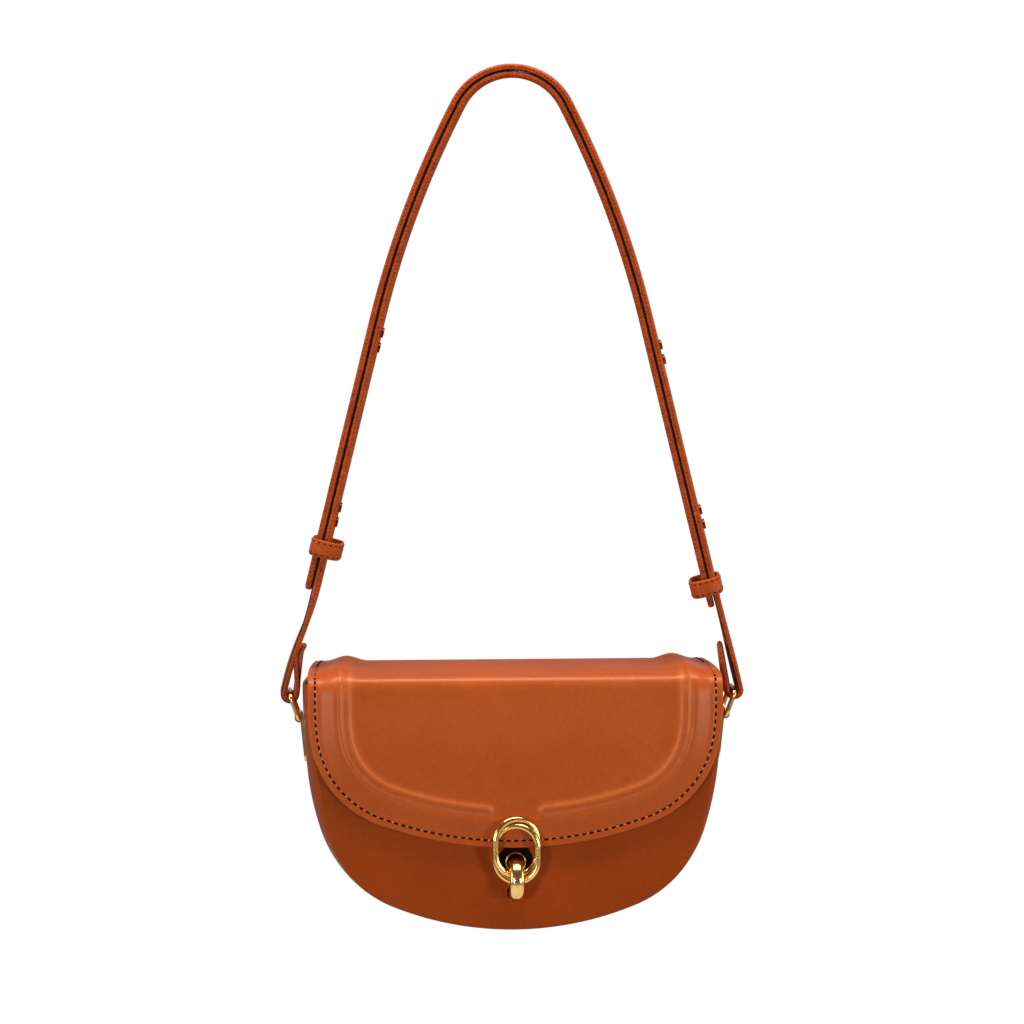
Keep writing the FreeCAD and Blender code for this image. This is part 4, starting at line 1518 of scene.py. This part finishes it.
def dress(material, *names):
    for name in names:
        mesh = nodes[name].data
        mesh.materials.clear()
        mesh.materials.append(material)
        mesh.polygons.foreach_set("use_smooth", [True] * len(mesh.polygons))


def build_hardware():
    dress(gold, "left_ring", "right_ring", "left_plate", "right_plate",
          "left_plate_rivets", "right_plate_rivets", "clasp_posts")
    dress(bronze, "left_studs", "right_studs")
    # The ferrule is dressed dark as painted shade of its hole.
    dress(dark_metal, "left_backing_plate", "right_backing_plate", "clasp_back_plate",
          "magnet_washer", "clasp_magnet", "clasp_ferrule")
    dress(black_leather_and_shadow, "left_spacers", "right_spacers")
    dress(bag_leather, "clasp_seat")
    dress(board_fibre, "front_board", "back_board", "base_board")


# Clasp

def build_ring(name, height, lean, node):
    """An oval ring of round wire, leaning about its upright axis."""
    straight = 2 * (clasp_half_height - clasp_half_width)
    route = Route((-clasp_half_width, -straight / 2), 90.0)
    for _ in range(2):
        route.ahead(straight).bend(clasp_half_width, -180.0)
    middle, headings = route.walk(clasp_step, arc_turn_step)
    side_x, side_y = unit(lean)
    out = clasp_wire * np.cos(round_angles(clasp_points))
    y = clasp_wire * np.sin(round_angles(clasp_points))
    rings = []
    for (middle_x, middle_z), heading in zip(middle[:-1], headings[:-1]):
        x = middle_x - math.sin(heading) * out
        z = height + middle_z + math.cos(heading) * out
        rings.append(rows_of(x * side_x - y * side_y, clasp_y + x * side_y + y * side_x, z))
    settle(tube_piece(name, rings, [gold]), "gold", "flap_front", node)


def build_rings():
    lean = math.degrees(math.asin((upper_ring_z - lower_ring_z) / 2 / clasp_half_width))
    build_ring("upper_clasp_ring", upper_ring_z, lean, "clasp_ring_upper")
    build_ring("lower_clasp_ring", lower_ring_z, -lean, "clasp_ring_lower")


def build_link():
    """The clasp's link: a half-round arch whose two prongs go into the sockets."""
    route = Route((link_prong_y, upper_socket_z), 180.0)
    route.ahead(link_prong_y - link_centre_y)
    route.bend((upper_socket_z - lower_socket_z) / 2, 180.0)
    route.ahead(link_prong_y - link_centre_y)
    middle, headings = route.walk(link_step, arc_turn_step)
    free = smooth_step(link_throat_y - middle[:, 0], 0.0, link_taper)
    sizes = link_throat_share + (1.0 - link_throat_share) * free
    section = oval(link_width / 2, link_thickness / 2, link_power, link_points)
    rings = []
    for (y, z), heading, size in zip(middle, headings, sizes):
        x, out = section.T * size
        rings.append(rows_of(x, y - math.sin(heading) * out, z + math.cos(heading) * out))
    link = tube_piece("clasp_link_round", rings, [gold], closed=False)
    settle(link, "gold", "flap_front", "clasp_link")


def socket_ring(name, section, material):
    """A closed ring round the upper socket's axis, from a section of radius and Y."""
    angles = round_angles(socket_points)
    rings = []
    for radius, y in section:
        rings.append(rows_of(radius * np.cos(angles), y, upper_socket_z + radius * np.sin(angles)))
    return tube_piece(name, rings, [material])


def build_rim():
    """A thin bright rim round the mouth of the ferrule."""
    section = oval(rim_wire, rim_wire, 2.0, rim_points) + np.array([rim_radius, rim_y])
    settle(socket_ring("ferrule_rim", section, gold), "gold", "bag")


def build_shadow_patch():
    """A thin dark ring on the front panel, behind the ferrule: painted shadow under the flap's edge and the
    rings.
    """
    back = front_y - panel_puff
    face = back - shadow_patch_thickness
    section = ((shadow_patch_hole, back), (shadow_patch_hole, face), (shadow_patch_radius - shadow_patch_thickness, face),
               (shadow_patch_radius, (back + face) / 2), (shadow_patch_radius, back))
    settle(socket_ring("clasp_shadow_patch", section, black_leather_and_shadow), "bag_leather", "bag")


# Studio

def area_light(name, place, size, power, spread):
    light = bpy.data.lights.new(name, "AREA")
    light.shape = "RECTANGLE"
    light.size, light.size_y = size
    light.energy = power
    light.spread = math.radians(spread)
    lamp = add_object(name, light)
    lamp.location = place
    way = Vector((0.0, 0.0, studio_middle_z)) - Vector(place)
    lamp.rotation_euler = way.to_track_quat("-Z", "Y").to_euler()
    lamp.visible_camera = False


def build_lights():
    """A wide light at each side, a narrow one in front of each side and a large one above."""
    side = ((side_light_width, side_light_height), side_light_power, side_light_spread)
    strip = ((strip_light_width, strip_light_height), strip_light_power, strip_light_spread)
    top = ((top_light_width, top_light_depth), top_light_power, top_light_spread)
    area_light("left_side", (-side_light_x, side_light_y, side_light_z), *side)
    area_light("right_side", (side_light_x, side_light_y, side_light_z), *side)
    area_light("left_strip", (left_strip_x, left_strip_y, strip_light_z), *strip)
    area_light("right_strip", (right_strip_x, right_strip_y, strip_light_z), *strip)
    area_light("top_box", (0.0, top_light_y, top_light_z), *top)


def white_floor():
    """A pale floor that fades into the white room."""
    shader = Shader("floor_white")
    shader.set(Roughness=0.9, Base_Color=(0.4, 0.4, 0.4, 1.0))
    path = shader.add("ShaderNodeLightPath").outputs
    place = shader.add("ShaderNodeNewGeometry").outputs["Position"]
    away = shader.add("ShaderNodeVectorMath", {0: place}, operation="LENGTH").outputs["Value"]
    near = shader.span(away, 0.9, 0.05, floor_mirror_start, floor_mirror_end)
    mirrored = shader.total(path["Is Glossy Ray"], near, "MULTIPLY")
    seen = shader.total(path["Is Camera Ray"], mirrored, "MAXIMUM")
    seen = shader.total(seen, path["Is Transmission Ray"], "MAXIMUM")
    far = shader.span(away, 0.9, 1.0, floor_fade_start, floor_fade_end)
    keep = shader.total(seen, far, "MULTIPLY")
    glow = shader.add("ShaderNodeEmission").outputs["Emission"]
    mix = shader.add("ShaderNodeMixShader", {"Fac": keep, 1: shader.surface.outputs["BSDF"], 2: glow})
    shader.feed(shader.nodes["Material Output"].inputs["Surface"], mix.outputs["Shader"])
    return shader.material


def build_world():
    """A dim room, brighter at its sides, that looks white to the eye and in low reflections."""
    world = bpy.data.worlds.new("studio")
    bpy.context.scene.world = world
    world.use_nodes = True
    room = Nodes(world.node_tree)
    path = room.add("ShaderNodeLightPath").outputs
    place = room.add("ShaderNodeTexCoord").outputs["Generated"]
    way = room.add("ShaderNodeSeparateXYZ", {0: place}).outputs
    behind = room.span(way["Y"], 0.0, back_glow, 0.3, 0.8)
    low_sky = room.span(way["Z"], 1.0, 0.0, 0.1, 0.18)
    mirrored = room.total(path["Is Glossy Ray"], room.total(behind, low_sky, "MULTIPLY"), "MULTIPLY")
    seen = room.total(path["Is Camera Ray"], path["Is Transmission Ray"], "MAXIMUM")
    seen = room.total(seen, mirrored, "MAXIMUM")
    beside = room.span(room.total(way["X"], way["X"], "MULTIPLY"), room_glow, wall_glow, 0.3, 0.8)
    fill = room.total(path["Is Diffuse Ray"], room.span(way["Y"], 0.0, back_fill, 0.0, 0.6), "MULTIPLY")
    lit = room.total(beside, fill)
    level = room.add("ShaderNodeMix", {0: seen, 2: lit, 3: 1.0}, data_type="FLOAT").outputs[0]
    back = room.nodes["Background"]
    room.feed(back.inputs["Strength"], level)
    room.feed(back.inputs["Color"], (1.0, 1.0, 1.0, 1.0))


def build_studio():
    bpy.ops.mesh.primitive_circle_add(
        vertices=floor_points, radius=floor_radius, fill_type="NGON", location=(0.0, 0.0, floor_z))
    floor = bpy.context.object
    floor.name = "floor"
    floor.data.materials.append(white_floor())
    build_world()
    build_lights()
    bpy.context.scene.view_settings.view_transform = "Standard"


def build_camera():
    data = bpy.data.cameras.new("camera")
    camera = add_object("camera", data)
    right, forward = unit(camera_turn - 90.0)
    level, up = unit(camera_rise)
    way = Vector((right * level, forward * level, up))
    camera.location = Vector((0.0, 0.0, target_z)) + way * camera_distance
    camera.rotation_euler = (-way).to_track_quat("-Z", "Y").to_euler()
    data.lens = data.sensor_width * camera_distance / view_height
    data.clip_end = view_end
    bpy.context.scene.camera = camera


build_camera()
build_straps()
build_keepers()
build_body()
build_flap()
build_hardware()
build_rings()
build_link()
build_rim()
build_shadow_patch()
build_studio()
